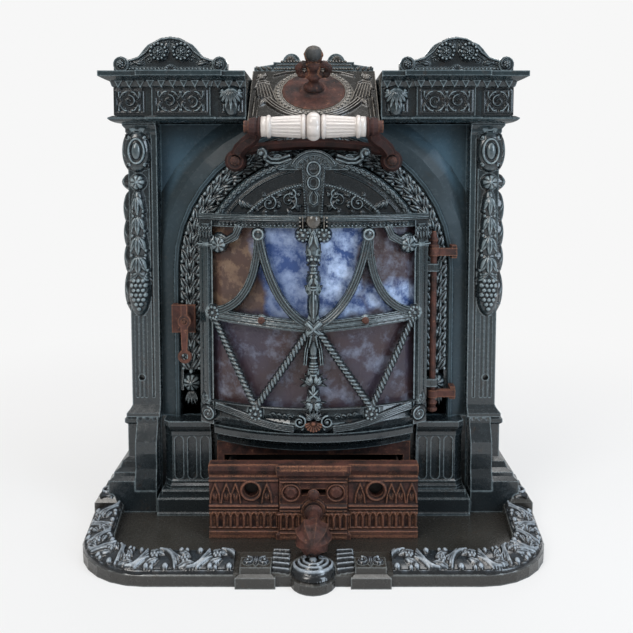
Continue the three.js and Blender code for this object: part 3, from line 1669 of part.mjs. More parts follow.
function doorCasting() {
  const bosses = [-1, 1].map((side) => disc(side * boltX, boltZ, boltBoss, ribbonThick + boltSeat));
  const y = bowY(boltX);
  const holes = [-1, 1].map((side) => {
    const x = side * boltX;
    return rod(boltRadius + fit, [x, y - 4 * over, boltZ], [x, y + doorThick + over, boltZ], 10);
  });
  return cut(join(doorFrame(), tracery(), ...bosses), ...holes);
}

function doorBolt(side) {
  const face = bowY(boltX) - ribbonThick - boltSeat - boltStandOff;
  const crown = [[boltHeadRadius * 0.55, -boltHeadTall], [boltHeadRadius, -boltHeadTall / 2], [boltHeadRadius, 0]];
  const shank = [[boltRadius, 0], [boltRadius, doorThick + boltTail]];
  return turned([...crown, ...shank], [side * boltX, face, boltZ], [0, 1, 0], 8);
}

piece("door_frame", doorCasting(), "enamel");
piece("lunette", lunette(), "enamel");
piece("mica_sheet", mica(), "mica");
piece("mica_strip_top", micaStrip(glassTop - stripLap), "iron");
piece("mica_strip_bottom", micaStrip(glassBottom - stripDrop), "iron");
piece("door_bolt_left", doorBolt(-1), "rust");
piece("door_bolt_right", doorBolt(1), "rust");

// Hinge: a rod with a leaf finial and a turned foot, held in two brackets on the rim
function hingeRod() {
  const footShares = [[0.5, 0], [1, 0.125], [1, 0.25], [0.625, 0.375], [1, 0.625]];
  const finialShares = [[1, 0], [1, 0.154], [0.625, 0.27], [0.875, 0.46], [0.375, 1]];
  const foot = lowBracket - hingeFootTall;
  const top = highBracket + knuckleTall + fit;
  const profile = [
    ...sized(footShares, hingeCollar, foot, hingeFootTall),
    [hingeRodRadius, lowBracket - over],
    [hingeRodRadius, top],
    ...sized(finialShares, hingeCollar, top, finialTall),
  ];
  return turned(profile, [hingeX, hingeY, 0], [0, 0, 1], 12);
}

function hingeBracket(z) {
  const radius = hingeRodRadius + knuckleWall;
  const high = z + knuckleTall;
  const outer = rimRadius + rimWidth;
  const eye = turned([[radius, 0], [radius, knuckleTall]], [hingeX, hingeY, z], [0, 0, 1], 16);
  const arm = block(hingeX, outer, hingeY - bracketArmFront, hingeY + bracketArmBack, z, high);
  const pad = block(rimRadius + padInset, outer, hingeY, rimY - rimProud - fit, z - padLap, high + padLap);
  const bore = rod(hingeRodRadius + fit, [hingeX, hingeY, z - over], [hingeX, hingeY, high + over], 16);
  return cut(join(eye, arm, pad), bore);
}

piece("hinge_rod", hingeRod(), "rust");
piece("hinge_bracket_top", hingeBracket(highBracket), "rust");
piece("hinge_bracket_bottom", hingeBracket(lowBracket), "rust");

// Latch: a keeper plate on the rim with a pin, and the lever that turns on it over the edge of the door
function latchKeeper() {
  const outer = -rimRadius - rimWidth;
  const low = latchZ - keeperDown;
  const high = latchZ + keeperUp;
  const pad = block(outer, -rimRadius - padInset, 0, rimY - rimProud - fit, low, high);
  const plate = block(outer, latchX + keeperLap, 0, keeperThick, low, high);
  const reach = pinSink - leverFrontY;
  const pinProfile = [[latchPinRadius, 0], [latchPinRadius, reach], [latchPinRadius / 2, reach + latchPinTail]];
  const pin = turned(pinProfile, [latchX, pinSink, latchZ], [0, -1, 0], 12);
  const spacer = rod(latchSpacer, [latchX, pinSink, latchZ], [latchX, leverFrontY + leverThick + fit, latchZ], 12);
  return join(pad, plate, spacer, pin);
}

function latchLever() {
  const back = leverFrontY + leverThick;
  const hub = rod(leverHubRadius, [latchX, back, latchZ], [latchX, leverFrontY, latchZ], 16);
  const half = tongueWidth / 2;
  const tongue = block(latchX - half, latchX + half, leverFrontY, back, latchZ, latchZ + tongueLength);
  const tailFoot = latchZ - tailLength;
  const outline = plan(
    [latchX - tailHalf, latchZ],
    [latchX - tailEndHalf, tailFoot],
    [latchX + tailEndHalf, tailFoot],
    [latchX + tailHalf, latchZ],
  );
  const tail = facing(new THREE.Shape(outline), back, leverThick);
  const eye = new THREE.TorusGeometry(eyeRadius, eyeWire, 6, 16).rotateX(Math.PI / 2);
  eye.translate(latchX, back - leverThick / 2, latchZ - eyeDrop);
  const bore = rod(latchPinRadius + fit, [latchX, back + over, latchZ], [latchX, leverFrontY - over, latchZ], 12);
  return cut(join(hub, tongue, tail, solid(eye)), bore);
}

piece("latch_keeper", latchKeeper(), "rust");
piece("latch_lever", latchLever(), "rust");

// Ash drawer, standing open by drawerOut
const drawerBackY = frameFrontY - fit - drawerOut;
const drawerFaceY = drawerBackY - drawerThick;
function drawerFront() {
  const faceShares = [
    [0.75, 0],
    [0.75, 0.06],
    [0.25, 0.09],
    [0.25, 0.3],
    [0.5, 0.33],
    [0, 0.36],
    [0, 0.82],
    [0.5, 0.86],
    [1, 0.93],
    [1, 1],
  ];
  const profile = sized(faceShares, drawerMould, drawerBottom, drawerTall);
  const face = rectangle(-drawerHalf, drawerHalf, drawerFaceY, drawerBackY);
  const slab = moulded(face, profile, [1, 2, 3]);
  const middle = rectangle(-centreHalf, centreHalf, drawerFaceY - centreProud, drawerBackY - centreSink);
  const centre = moulded(middle, profile.map(([reach, z]) => [Math.min(reach, centreProud), z]), [2]);
  const boss = rod(knobBossRadius, [0, drawerFaceY - knobBossProud, knobHeight], [0, drawerFaceY, knobHeight], 16);
  const domes = [-1, 1].map((side) => bossPlate(side * domeX, slotCentre, domeRadius, domeRadius, drawerFaceY, domeProud));
  return cut(join(slab, centre, boss, ...domes), ...drawerHoles(), ...arcade());
}

// Two air holes, the slot of the slider with the pocket behind it, and the knob's hole
function drawerHoles() {
  const back = drawerBackY + over;
  const front = drawerFaceY - 4 * over;
  const holeZ = slotCentre + airHoleLift;
  const holes = [-airHoleX, airHoleX].map((x) => rod(airHoleRadius, [x, back, holeZ], [x, front, holeZ], 14));
  const slot = block(-slotHalf, slotHalf, front, back, slotCentre - slotHeight / 2, slotCentre + slotHeight / 2);
  const rise = sliderTall / 2 + pocketGap;
  const pocket = block(-centreHalf, centreHalf, drawerBackY - pocketDeep, back, slotCentre - rise, slotCentre + rise);
  const stem = rod(knobPin + fit, [0, back, knobHeight], [0, front, knobHeight], 14);
  return [...holes, slot, pocket, stem];
}

// Row of round-headed arches along the foot of the drawer front
function arcade() {
  const count = 18;
  const pitch = (2 * (drawerHalf - archletMargin)) / count;
  const low = drawerBottom + archletRise;
  const shoulder = low + archletTall * 0.7;
  const half = pitch * 0.3;
  const kept = Array.from({ length: count }, (_, i) => i).filter((i) => Math.abs(i - (count - 1) / 2) > 2);
  return kept.map((i) => {
    const x = pitch * (i + 0.5) - drawerHalf + archletMargin;
    const outline = plan([x - half, low], [x + half, low], [x + half, shoulder], [x, low + archletTall], [x - half, shoulder]);
    const front = Math.abs(x) < centreHalf + centreProud ? drawerFaceY - centreProud : drawerFaceY;
    return facing(new THREE.Shape(outline), front + archletDeep, 4 * over);
  });
}

function ashPan() {
  const front = drawerBackY + fit;
  const high = panLow + panHeight;
  const half = panHalf - panWall;
  const outer = block(-panHalf, panHalf, front, front + panLength, panLow, high);
  const inner = block(-half, half, front + panWall, front + panLength - panWall, panLow + panWall, high + over);
  const stem = rod(knobPin + fit, [0, front - over, knobHeight], [0, front + panWall + over, knobHeight], 14);
  return cut(outer, inner, stem);
}

// Bell-shaped pull on a stem through the drawer front, riveted over inside the pan
function drawerPull() {
  const bellShares = [
    [0.46, 0],
    [0.46, 0.04],
    [0.27, 0.08],
    [0.27, 0.3],
    [0.385, 0.34],
    [0.31, 0.4],
    [0.55, 0.48],
    [0.9, 0.6],
    [1, 0.74],
    [0.86, 0.87],
    [0.4, 0.96],
    [0.15, 1],
  ];
  const start = drawerFaceY - knobBossProud - fit;
  return turned(sized(bellShares, knobRadius, 0, knobLength), [0, start, knobHeight], [0, -1, 0], 12);
}

function knobStem() {
  const start = drawerFaceY - knobBossProud - fit - over;
  const inner = drawerBackY + fit + panWall - start;
  const rivetEnd = inner + rivetThick;
  const rivet = [[rivetRadius, inner + fit], [rivetRadius, rivetEnd]];
  const profile = [[knobPin, 0], [knobPin, inner], ...rivet, [knobPin, rivetEnd], [knobPin, rivetEnd + rivetTail]];
  return turned(profile, [0, start, knobHeight], [0, 1, 0], 12);
}

function airSlider() {
  const bossShares = [[0.44, 0], [0.89, 0.22], [1, 0.56], [0.67, 0.89], [0.22, 1]];
  const back = drawerBackY - sliderGap;
  const half = sliderTall / 2;
  const plate = block(-sliderHalf, sliderHalf, back - sliderThick, back, slotCentre - half, slotCentre + half);
  const bossY = drawerFaceY - sliderReach;
  const neck = rod(sliderNeck, [0, back - sliderGap, slotCentre], [0, bossY - over, slotCentre], 10);
  const boss = turned(sized(bossShares, sliderBoss, 0, sliderBoss), [0, bossY, slotCentre], [0, -1, 0], 12);
  return join(plate, neck, boss);
}

piece("drawer_front", drawerFront(), "rust");
piece("ash_pan", ashPan(), "iron");
piece("drawer_knob", join(drawerPull(), knobStem()), "rust");
piece("air_slider", airSlider(), "rust");

// Handle: a yoke bolted to the rim, a rod across it and the porcelain grip on the rod
const gripPoint = [0, gripY, gripHeight];
function handleYoke() {
  const back = rimY - rimProud - fit;
  const halves = [-1, 1].map((side) => join(yokeBoss(side, back), yokeArm(side), yokeCollar(side)));
  const acrossShares = [-1, -0.6, -0.25, 0, 0.25, 0.6, 1];
  const stops = acrossShares.map((share) => {
    const z = handleZ + barRise + barBow * (1 - share * share);
    return [share * (handleX - barInset), barY, z];
  });
  const ends = [-1, 1].map((side) => {
    const near = side * (collarX + collarLong);
    return rod(sinkRadius, [near, gripY, gripHeight], [near + side * collarLong, gripY, gripHeight], 14);
  });
  const bore = rod(rodRadius + fit, [-handleX, gripY, gripHeight], [handleX, gripY, gripHeight], 14);
  const room = rod(gripBead, [-collarX, gripY, gripHeight], [collarX, gripY, gripHeight], 14);
  return cut(join(...halves, strut(stops, barRadius)), bore, room, ...ends, ...yokeBores(back));
}

function yokeBoss(side, back) {
  const bossShares = [[1, 0], [1, 0.67], [0.765, 0.89], [0.765, 1]];
  const profile = sized(bossShares, handleBossRadius, 0, handleBossTall);
  return turned(profile, [side * handleX, back, handleZ], [0, -1, 0], 16);
}

// Arm from a boss up and out to its collar, by shares of the way between them
function yokeArm(side) {
  const wayShares = [
    [0, 0, 0],
    [0.23, 0.21, 0.39],
    [0.83, 0.625, 0.74],
    [1, 1, 1],
  ];
  const from = new THREE.Vector3(side * handleX, armRootY, handleZ);
  const to = new THREE.Vector3(side * (collarX + collarLong / 2), gripY + armSink, gripHeight - armDrop);
  const way = to.clone().sub(from);
  const stops = wayShares.map(([x, y, z]) => from.clone().add(new THREE.Vector3(x, y, z).multiply(way)).toArray());
  return strut(stops, armRadius);
}

function yokeCollar(side) {
  const collarShares = [[0.93, 0], [1, 0.167], [0.8, 0.33], [0.93, 0.56], [0.8, 1]];
  const profile = sized(collarShares, collarRadius, 0, collarLong);
  return turned(profile, [side * collarX, gripY, gripHeight], [side, 0, 0], 14);
}

// Bolt holes through the bosses, with room in front for the bolts' heads
function yokeBores(back) {
  const hole = handleBoltRadius + fit;
  return [-handleX, handleX].flatMap((x) => [
    rod(hole, [x, back - handleBossTall - over, handleZ], [x, back - handleHoleFloor, handleZ], 12),
    rod(sinkRadius, [x, gripY, handleZ], [x, back - handleBossTall, handleZ], 12),
  ]);
}

// A bar of round section through hand-placed stops
function strut(stops, radius, count = 6) {
  const points = stops.map((p) => new THREE.Vector3(...p));
  const line = new THREE.CatmullRomCurve3(points);
  const rings = line.getPoints(6).map((p, i) => {
    const along = line.getTangent(i / 6);
    const side = new THREE.Vector3(0, 1, 0).cross(along).normalize();
    const up = along.clone().cross(side);
    return ellipse(count).map(([c, s]) => p.clone().addScaledVector(side, c * radius).addScaledVector(up, s * radius));
  });
  return solid(loft(rings));
}

// A fluted, tapered sleeve of porcelain with a flange at each end
function gripSleeve(side) {
  const inner = gripBead * 0.5 + fit;
  const long = gripHalf - inner;
  const sleeveShares = [
    [0, 0.86, 0],
    [0.03, 1, 0],
    [0.08, 1, 0],
    [0.1, 0.92, 0],
    [0.11, 0.94, 0.09],
    [0.76, 0.78, 0.09],
    [0.77, 0.78, 0],
    [0.8, 0.94, 0],
    [0.86, 0.94, 0],
    [0.88, 0.82, 0],
    [1, 0.84, 0],
  ];
  const count = 16;
  const rings = sleeveShares.map(([share, size, flute]) =>
    ellipse(count).map(([c, s], i) => {
      const r = gripRadius * 1.08 * (size - (i % 2 ? flute : 0));
      return new THREE.Vector3(side * (inner + share * long), gripY + c * r, gripHeight + s * r);
    }),
  );
  const bore = rod(rodRadius + fit, [-2 * gripHalf, gripY, gripHeight], [2 * gripHalf, gripY, gripHeight], 14);
  return cut(solid(loft(rings)), bore);
}

function gripBeadRing() {
  const beadShares = [[0.7, 0], [0.92, 0.2], [1, 0.5], [0.92, 0.8], [0.7, 1]];
  const profile = sized(beadShares, gripBead, 0, gripBead);
  const bead = turned(profile, [-gripBead / 2, gripY, gripHeight], [1, 0, 0], 18);
  return cut(bead, rod(rodRadius + fit, [-gripHalf, gripY, gripHeight], [gripHalf, gripY, gripHeight], 14));
}

function handleRod() {
  const end = collarX + collarLong + fit;
  const head = end + rodHeadLong;
  const left = [[rodHeadRadius, -head], [rodHeadRadius, -end], [rodRadius, -end]];
  const right = [[rodRadius, end], [rodHeadRadius, end], [rodHeadRadius, head]];
  return turned([...left, ...right], gripPoint, [1, 0, 0], 12);
}

function handleBolt(side) {
  const headShares = [[0.375, -1], [0.875, -0.67], [1, 0]];
  const face = rimY - rimProud - handleBossTall - 2 * fit;
  const shank = [[handleBoltRadius, 0], [handleBoltRadius, handleBoltLong]];
  const profile = [...sized(headShares, handleBoltHead, 0, handleBoltHeadTall), ...shank];
  return turned(profile, [side * handleX, face, handleZ], [0, 1, 0], 8);
}

piece("handle_yoke", handleYoke(), "rust");
piece("handle_rod", handleRod(), "rust");
piece("grip_left", gripSleeve(-1), "porcelain");
piece("grip_right", gripSleeve(1), "porcelain");
piece("grip_bead", gripBeadRing(), "porcelain");
piece("handle_bolt_left", handleBolt(-1), "rust");
piece("handle_bolt_right", handleBolt(1), "rust");
export default stove;
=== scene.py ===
import math

import bpy
import numpy as np
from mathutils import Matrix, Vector


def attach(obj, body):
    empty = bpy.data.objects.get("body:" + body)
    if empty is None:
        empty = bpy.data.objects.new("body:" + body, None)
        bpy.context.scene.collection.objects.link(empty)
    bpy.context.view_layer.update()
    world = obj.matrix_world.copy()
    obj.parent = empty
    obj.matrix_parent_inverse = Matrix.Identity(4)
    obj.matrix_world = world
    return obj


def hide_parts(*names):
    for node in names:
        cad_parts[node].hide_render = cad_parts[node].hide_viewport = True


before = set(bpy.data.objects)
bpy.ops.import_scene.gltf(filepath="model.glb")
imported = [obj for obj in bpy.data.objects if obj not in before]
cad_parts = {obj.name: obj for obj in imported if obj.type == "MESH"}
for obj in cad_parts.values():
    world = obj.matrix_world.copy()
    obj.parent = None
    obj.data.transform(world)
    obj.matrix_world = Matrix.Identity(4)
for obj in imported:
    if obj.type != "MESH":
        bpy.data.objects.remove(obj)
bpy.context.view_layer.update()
scene = bpy.context.scene
scene.view_settings.view_transform = "Standard"

fullTurn = 2.0 * math.pi
upward, downward = math.pi / 2, -math.pi / 2
bothHands = (-1, 1)

# Camera at the photograph's viewing angle
view = {
    "place": (0.0045, -1.16, 0.56),
    "pitch": 4.3,
    "lens": 42.5,
    "sensor": 36.0,
    "shift": (0.0, -0.15),
    "far": 40.0,
}


def makeCamera():
    lens = bpy.data.cameras.new("camera")
    lens.lens = view["lens"]
    lens.sensor_width = view["sensor"]
    lens.shift_x, lens.shift_y = view["shift"]
    lens.clip_end = view["far"]
    camera = bpy.data.objects.new("camera", lens)
    camera.location = view["place"]
    camera.rotation_euler = (math.radians(90.0 - view["pitch"]), 0.0, 0.0)
    scene.collection.objects.link(camera)
    scene.camera = camera


# Node helpers: inputs are given by label or number, as a source socket, a colour or a number
def feed(tree, socket, value):
    if isinstance(value, bpy.types.NodeSocket):
        tree.links.new(value, socket)
    else:
        socket.default_value = (*value, 1.0) if isinstance(value, tuple) else value


def addNode(tree, kind, inputs=None, **settings):
    node = tree.nodes.new("ShaderNode" + kind)
    for setting, value in settings.items():
        setattr(node, setting, value)
    for label, value in (inputs or {}).items():
        feed(tree, node.inputs[label], value)
    return node


def objectPlace(tree):
    return addNode(tree, "TexCoord").outputs["Object"]


# Lamps, world and floor; the floor glows for the camera, less so near the stove, so its shadow shows
studio = {
    "worldLight": 0.36,
    "backdrop": 0.93,
    "white": (1.0, 1.0, 1.0),
    "floorTone": 0.8,
    "floorSize": 12.0,
    "glowNear": 0.66,
    "glowReach": (0.42, 1.5),
    "aim": (0.0, 0.0, 0.38),
}
lamps = {
    "key": {"place": (-1.5, -1.9, 2.2), "size": (1.1, 1.5), "power": 40.0, "colour": (1.0, 0.97, 0.93)},
    "fill": {"place": (1.9, -1.5, 1.3), "size": (0.9, 1.6), "power": 34.0, "colour": (0.72, 0.86, 1.0)},
    "top": {"place": (0.1, -0.3, 2.4), "size": (1.8, 1.0), "power": 24.0, "colour": (1.0, 1.0, 1.0)},
    "rear": {"place": (0.4, 2.2, 1.6), "size": (1.6, 1.2), "power": 20.0, "colour": (1.0, 1.0, 1.0)},
}


def makeLamps():
    for name, lamp in lamps.items():
        light = bpy.data.lights.new(name, "AREA")
        light.shape = "RECTANGLE"
        light.size, light.size_y = lamp["size"]
        light.energy = lamp["power"]
        light.color = lamp["colour"]
        holder = bpy.data.objects.new(name, light)
        holder.location = lamp["place"]
        holder.rotation_euler = (Vector(studio["aim"]) - holder.location).to_track_quat("-Z", "Y").to_euler()
        scene.collection.objects.link(holder)


def seenRays(tree):
    path = addNode(tree, "LightPath")
    rays = {0: path.outputs["Is Camera Ray"], 1: path.outputs["Is Transmission Ray"]}
    return addNode(tree, "Math", rays, operation="MAXIMUM").outputs[0]


def makeWorld():
    scene.world = bpy.data.worlds.new("world")
    scene.world.use_nodes = True
    tree = scene.world.node_tree
    tree.nodes.clear()
    light = addNode(tree, "Background", {"Strength": studio["worldLight"]})
    pale = addNode(tree, "Background", {"Color": studio["white"], "Strength": studio["backdrop"]})
    choose = addNode(tree, "MixShader", {0: seenRays(tree), 1: light.outputs[0], 2: pale.outputs[0]})
    addNode(tree, "OutputWorld", {"Surface": choose.outputs[0]})


def makeFloor():
    half = studio["floorSize"] / 2.0
    mesh = bpy.data.meshes.new("floor")
    corners = [(-half, -half, 0.0), (half, -half, 0.0), (half, half, 0.0), (-half, half, 0.0)]
    mesh.from_pydata(corners, [], [(0, 1, 2, 3)])
    floor = bpy.data.objects.new("floor", mesh)
    scene.collection.objects.link(floor)
    material = bpy.data.materials.new("floorPale")
    material.use_nodes = True
    tree = material.node_tree
    tree.nodes.clear()
    away = addNode(tree, "VectorMath", {0: objectPlace(tree)}, operation="LENGTH").outputs["Value"]
    start, end = studio["glowReach"]
    reach = {"Value": away, "From Min": start, "From Max": end, "To Min": studio["glowNear"]}
    fade = addNode(tree, "MapRange", reach, interpolation_type="SMOOTHSTEP")
    share = addNode(tree, "Math", {0: seenRays(tree), 1: fade.outputs[0]}, operation="MULTIPLY")
    matt = addNode(tree, "BsdfDiffuse", {"Color": (studio["floorTone"],) * 3})
    glow = addNode(tree, "Emission", {"Strength": studio["backdrop"]})
    mix = addNode(tree, "MixShader", {0: share.outputs[0], 1: matt.outputs[0], 2: glow.outputs[0]})
    addNode(tree, "OutputMaterial", {"Surface": mix.outputs[0]})
    mesh.materials.append(material)


makeCamera()
makeLamps()
makeWorld()
makeFloor()
print("stage ready")


# A group of shader nodes that gives a colour, a roughness and a height for the bump
class Shade:
    def __init__(self, name, colours, numbers=()):
        self.tree = bpy.data.node_groups.new(name, "ShaderNodeTree")
        sockets = [(label, "INPUT", "Color") for label in colours] + [(label, "INPUT", "Float") for label in numbers]
        sockets += [("Color", "OUTPUT", "Color"), ("Roughness", "OUTPUT", "Float"), ("Height", "OUTPUT", "Float")]
        for label, way, kind in sockets:
            self.tree.interface.new_socket(name=label, in_out=way, socket_type="NodeSocket" + kind)
        self.given = self.tree.nodes.new("NodeGroupInput").outputs
        self.result = self.tree.nodes.new("NodeGroupOutput").inputs

    def add(self, kind, inputs=None, **settings):
        return addNode(self.tree, kind, inputs, **settings)

    def noise(self, scale, detail=4.0, rough=0.55):
        inputs = {"Scale": scale, "Detail": detail, "Roughness": rough, "Vector": objectPlace(self.tree)}
        return self.add("TexNoise", inputs).outputs[0]

    def span(self, source, low, high, start=0.0, end=1.0):
        inputs = {"Value": source, "From Min": low, "From Max": high, "To Min": start, "To Max": end}
        return self.add("MapRange", inputs).outputs[0]

    def mix(self, share, first, second):
        return self.add("Mix", {0: share, 6: first, 7: second}, data_type="RGBA").outputs[2]

    def maths(self, operation, first, second):
        return self.add("Math", {0: first, 1: second}, operation=operation).outputs[0]

    def times(self, first, second):
        return self.maths("MULTIPLY", first, second)

    def most(self, *sources):
        first, *others = sources
        for other in others:
            first = self.maths("MAXIMUM", first, other)
        return first

    def axes(self):
        return self.add("SeparateXYZ", {0: objectPlace(self.tree)}).outputs

    def corner(self, reach, low, high, inside=False, share=1.0):
        node = self.add("AmbientOcclusion", {"Distance": reach}, inside=inside, samples=4)
        return self.span(node.outputs["AO"], low, high, share, 0.0)

    # How far a spot of an ornament stands above what is round it: over a half on ridges, 0 on castings
    def rise(self):
        return self.add("Attribute", attribute_name="rise").outputs["Fac"]

    def groove(self, low, high, least):
        rise = self.rise()
        return self.times(self.span(rise, low, high, 1.0, 0.0), self.span(rise, *least))

    def finish(self, colour, roughness, height):
        for label, source in (("Color", colour), ("Roughness", roughness), ("Height", height)):
            feed(self.tree, self.result[label], source)
        return self


# Vitreous enamel: pools dark in the hollows, thins to a pale grey on the ridges, with brown worn spots, and a painted
# shade colour in deep recesses, low down and on the flare behind the front face
enamelLook = {
    "broad": (7.0, 3.0), "broadSpan": (0.38, 0.66), "broadShare": 0.55, "fine": (160.0, 3.0),
    "hollow": (0.012, 0.25, 0.85), "hollowShare": 0.85, "grooveShare": 0.92, "paintedShade": (0.09, 0.45, 0.95),
    "forward": 0.009, "lowShade": 0.16, "paintedShadeShare": 0.8, "edge": (0.0022, 0.55, 0.95), "edgeShare": 0.8,
    "ridge": (0.56, 1.0), "ridgeShare": 0.9, "fineSpan": (0.25, 0.6, 0.45, 1.0), "stain": (38.0, 6.0, 0.7),
    "stainSpan": (0.6, 0.74), "stainShare": 0.5, "gloss": (0.3, 0.75, 0.16, 0.34), "bump": (55.0, 3.0),
}
grooves = {"low": 0.12, "high": 0.46, "least": (0.002, 0.01)}


def enamelGroup():
    look = enamelLook
    shade = Shade("enamelShade", ("Deep", "Body", "Pale", "Worn", "Shade"), ("Shade front", "Shade top"))
    given, spot = shade.given, shade.axes()
    broad = shade.times(shade.span(shade.noise(*look["broad"]), *look["broadSpan"]), look["broadShare"])
    fine = shade.noise(*look["fine"])
    body = shade.mix(broad, given["Body"], given["Deep"])
    hollow = shade.times(shade.corner(*look["hollow"]), look["hollowShare"])
    hollow = shade.most(hollow, shade.times(shade.groove(**grooves), look["grooveShare"]))
    body = shade.mix(hollow, body, given["Deep"])
    # Painted shade: deep recesses, the face behind Shade front and the parts below Shade top take the shade colour
    forward = shade.span(shade.maths("SUBTRACT", given["Shade front"], spot[1]), 0.0, look["forward"])
    lowShade = shade.span(shade.maths("SUBTRACT", given["Shade top"], spot[2]), 0.0, look["lowShade"])
    paintedShade = shade.most(shade.corner(*look["paintedShade"]), shade.most(forward, lowShade))
    body = shade.mix(shade.times(paintedShade, look["paintedShadeShare"]), body, given["Shade"])
    casting = shade.maths("LESS_THAN", shade.rise(), grooves["least"][1])
    edge = shade.times(shade.corner(*look["edge"], inside=True), casting)
    ridge = shade.times(shade.span(shade.rise(), *look["ridge"]), look["ridgeShare"])
    lift = shade.most(shade.times(edge, look["edgeShare"]), ridge)
    lift = shade.times(lift, shade.span(fine, *look["fineSpan"]))
    body = shade.mix(lift, body, given["Pale"])
    stain = shade.times(shade.span(shade.noise(*look["stain"]), *look["stainSpan"]), look["stainShare"])
    body = shade.mix(stain, body, given["Worn"])
    return shade.finish(body, shade.span(fine, *look["gloss"]), shade.noise(*look["bump"]))


# Bare cast iron: rust in blotches, orange on the edges, darker in the hollows
rustLook = {
    "blotch": (45.0, 6.0, 0.65), "blotchSpan": (0.36, 0.64), "fine": (420.0, 4.0, 0.7), "edge": (0.002, 0.5, 0.95),
    "ridge": (0.6, 0.95), "ridgeShare": 0.6, "fineSpan": (0.35, 0.6), "speck": (130.0, 5.0, 0.7),
    "speckSpan": (0.6, 0.72), "speckShare": 0.7, "liftShare": 0.8, "hollow": (0.01, 0.2, 0.8), "hollowShare": 0.8,
    "gloss": (0.3, 0.7, 0.5, 0.85),
}


def rustGroup():
    look = rustLook
    shade = Shade("rustShade", ("Dark", "Brown", "Orange"), ("Grain",))
    given = shade.given
    blotch = shade.span(shade.noise(*look["blotch"]), *look["blotchSpan"])
    fine = shade.noise(*look["fine"])
    colour = shade.mix(blotch, given["Dark"], given["Brown"])
    ridge = shade.times(shade.span(shade.rise(), *look["ridge"]), look["ridgeShare"])
    lift = shade.most(shade.corner(*look["edge"], inside=True), ridge)
    lift = shade.times(lift, shade.span(fine, *look["fineSpan"]))
    speck = shade.span(shade.noise(*look["speck"]), *look["speckSpan"])
    lift = shade.most(lift, shade.times(speck, look["speckShare"]))
    colour = shade.mix(shade.times(lift, look["liftShare"]), colour, given["Orange"])
    hollow = shade.most(shade.corner(*look["hollow"]), shade.groove(**grooves))
    colour = shade.mix(shade.times(hollow, look["hollowShare"]), colour, given["Dark"])
    return shade.finish(colour, shade.span(fine, *look["gloss"]), shade.times(fine, given["Grain"]))


def makeMaterial(name, shade, settings, bump, own):
    material = bpy.data.materials.new(name)
    material.use_nodes = True
    tree = material.node_tree
    shader = tree.nodes["Principled BSDF"]
    group = tree.nodes.new("ShaderNodeGroup")
    group.node_tree = shade.tree
    for label, value in settings.items():
        feed(tree, group.inputs[label], value)
    strength, distance = bump
    relief = addNode(tree, "Bump", {"Strength": strength, "Distance": distance, "Height": group.outputs["Height"]})
    feed(tree, shader.inputs["Normal"], relief.outputs[0])
    feed(tree, shader.inputs["Base Color"], group.outputs["Color"])
    feed(tree, shader.inputs["Roughness"], group.outputs["Roughness"])
    for label, value in own.items():
        shader.inputs[label].default_value = value
    return material


# Shade front and Shade top are the places, along y and z, past which the painted shade colour comes in
enamels = {
    "enamel": {
        "Deep": (0.004, 0.007, 0.009), "Body": (0.016, 0.031, 0.037), "Pale": (0.27, 0.335, 0.36),
        "Worn": (0.055, 0.03, 0.018), "Shade": (0.013, 0.017, 0.02), "Shade top": 0.33,
    },
    "enamelBlue": {
        "Deep": (0.014, 0.024, 0.03), "Body": (0.052, 0.098, 0.135), "Pale": (0.2, 0.29, 0.34),
        "Worn": (0.04, 0.036, 0.028), "Shade": (0.02, 0.021, 0.018),
    },
    # Front panel: its real blue is made lighter and bluer to stand for window light reflected on it, so it is partly a
    # painted reflection, with painted shade low down and on its flare
    "enamelPanel": {
        "Deep": (0.018, 0.03, 0.038), "Body": (0.1, 0.19, 0.262), "Pale": (0.2, 0.29, 0.34),
        "Worn": (0.04, 0.036, 0.028), "Shade": (0.021, 0.021, 0.017), "Shade front": 0.0392, "Shade top": 0.585,
    },
    "enamelBorder": {
        "Deep": (0.007, 0.009, 0.011), "Body": (0.034, 0.043, 0.052), "Pale": (0.36, 0.41, 0.46),
        "Worn": (0.07, 0.04, 0.024), "Shade": (0.016, 0.016, 0.016),
    },
    "enamelOlive": {
        "Deep": (0.011, 0.011, 0.009), "Body": (0.06, 0.052, 0.044), "Pale": (0.36, 0.33, 0.29),
        "Worn": (0.08, 0.032, 0.018), "Shade": (0.016, 0.013, 0.01),
    },
    "trayEnamel": {
        "Deep": (0.012, 0.012, 0.01), "Body": (0.046, 0.043, 0.037), "Pale": (0.22, 0.24, 0.24),
        "Worn": (0.06, 0.034, 0.02), "Shade": (0.02, 0.018, 0.016),
    },
}
coats = {  # weight, roughness, specular level
    "enamel": (0.5, 0.08, 0.5), "enamelBlue": (0.3, 0.2, 0.5), "enamelPanel": (0.0, 0.3, 0.18),
    "enamelBorder": (0.5, 0.1, 0.5), "enamelOlive": (0.4, 0.12, 0.5), "trayEnamel": (0.3, 0.25, 0.5),
}
irons = {
    "rust": {"Grain": 1.0, "Dark": (0.012, 0.006, 0.006), "Brown": (0.1, 0.036, 0.026), "Orange": (0.4, 0.18, 0.1)},
    "soot": {"Grain": 0.7, "Dark": (0.009, 0.008, 0.008), "Brown": (0.028, 0.022, 0.019), "Orange": (0.1, 0.05, 0.03)},
    "greyIron": {
        "Grain": 0.8, "Dark": (0.03, 0.031, 0.032), "Brown": (0.07, 0.072, 0.072), "Orange": (0.16, 0.14, 0.12),
    },
    "maroon": {
        "Grain": 0.6, "Dark": (0.012, 0.006, 0.006), "Brown": (0.045, 0.013, 0.011), "Orange": (0.17, 0.06, 0.035),
    },
}
metal = {
    "noShade": {"Shade front": -9.0, "Shade top": -9.0}, "enamelBump": (0.12, 0.002), "ironBump": (0.5, 0.0012),
    "iron": {"Metallic": 0.15},
}


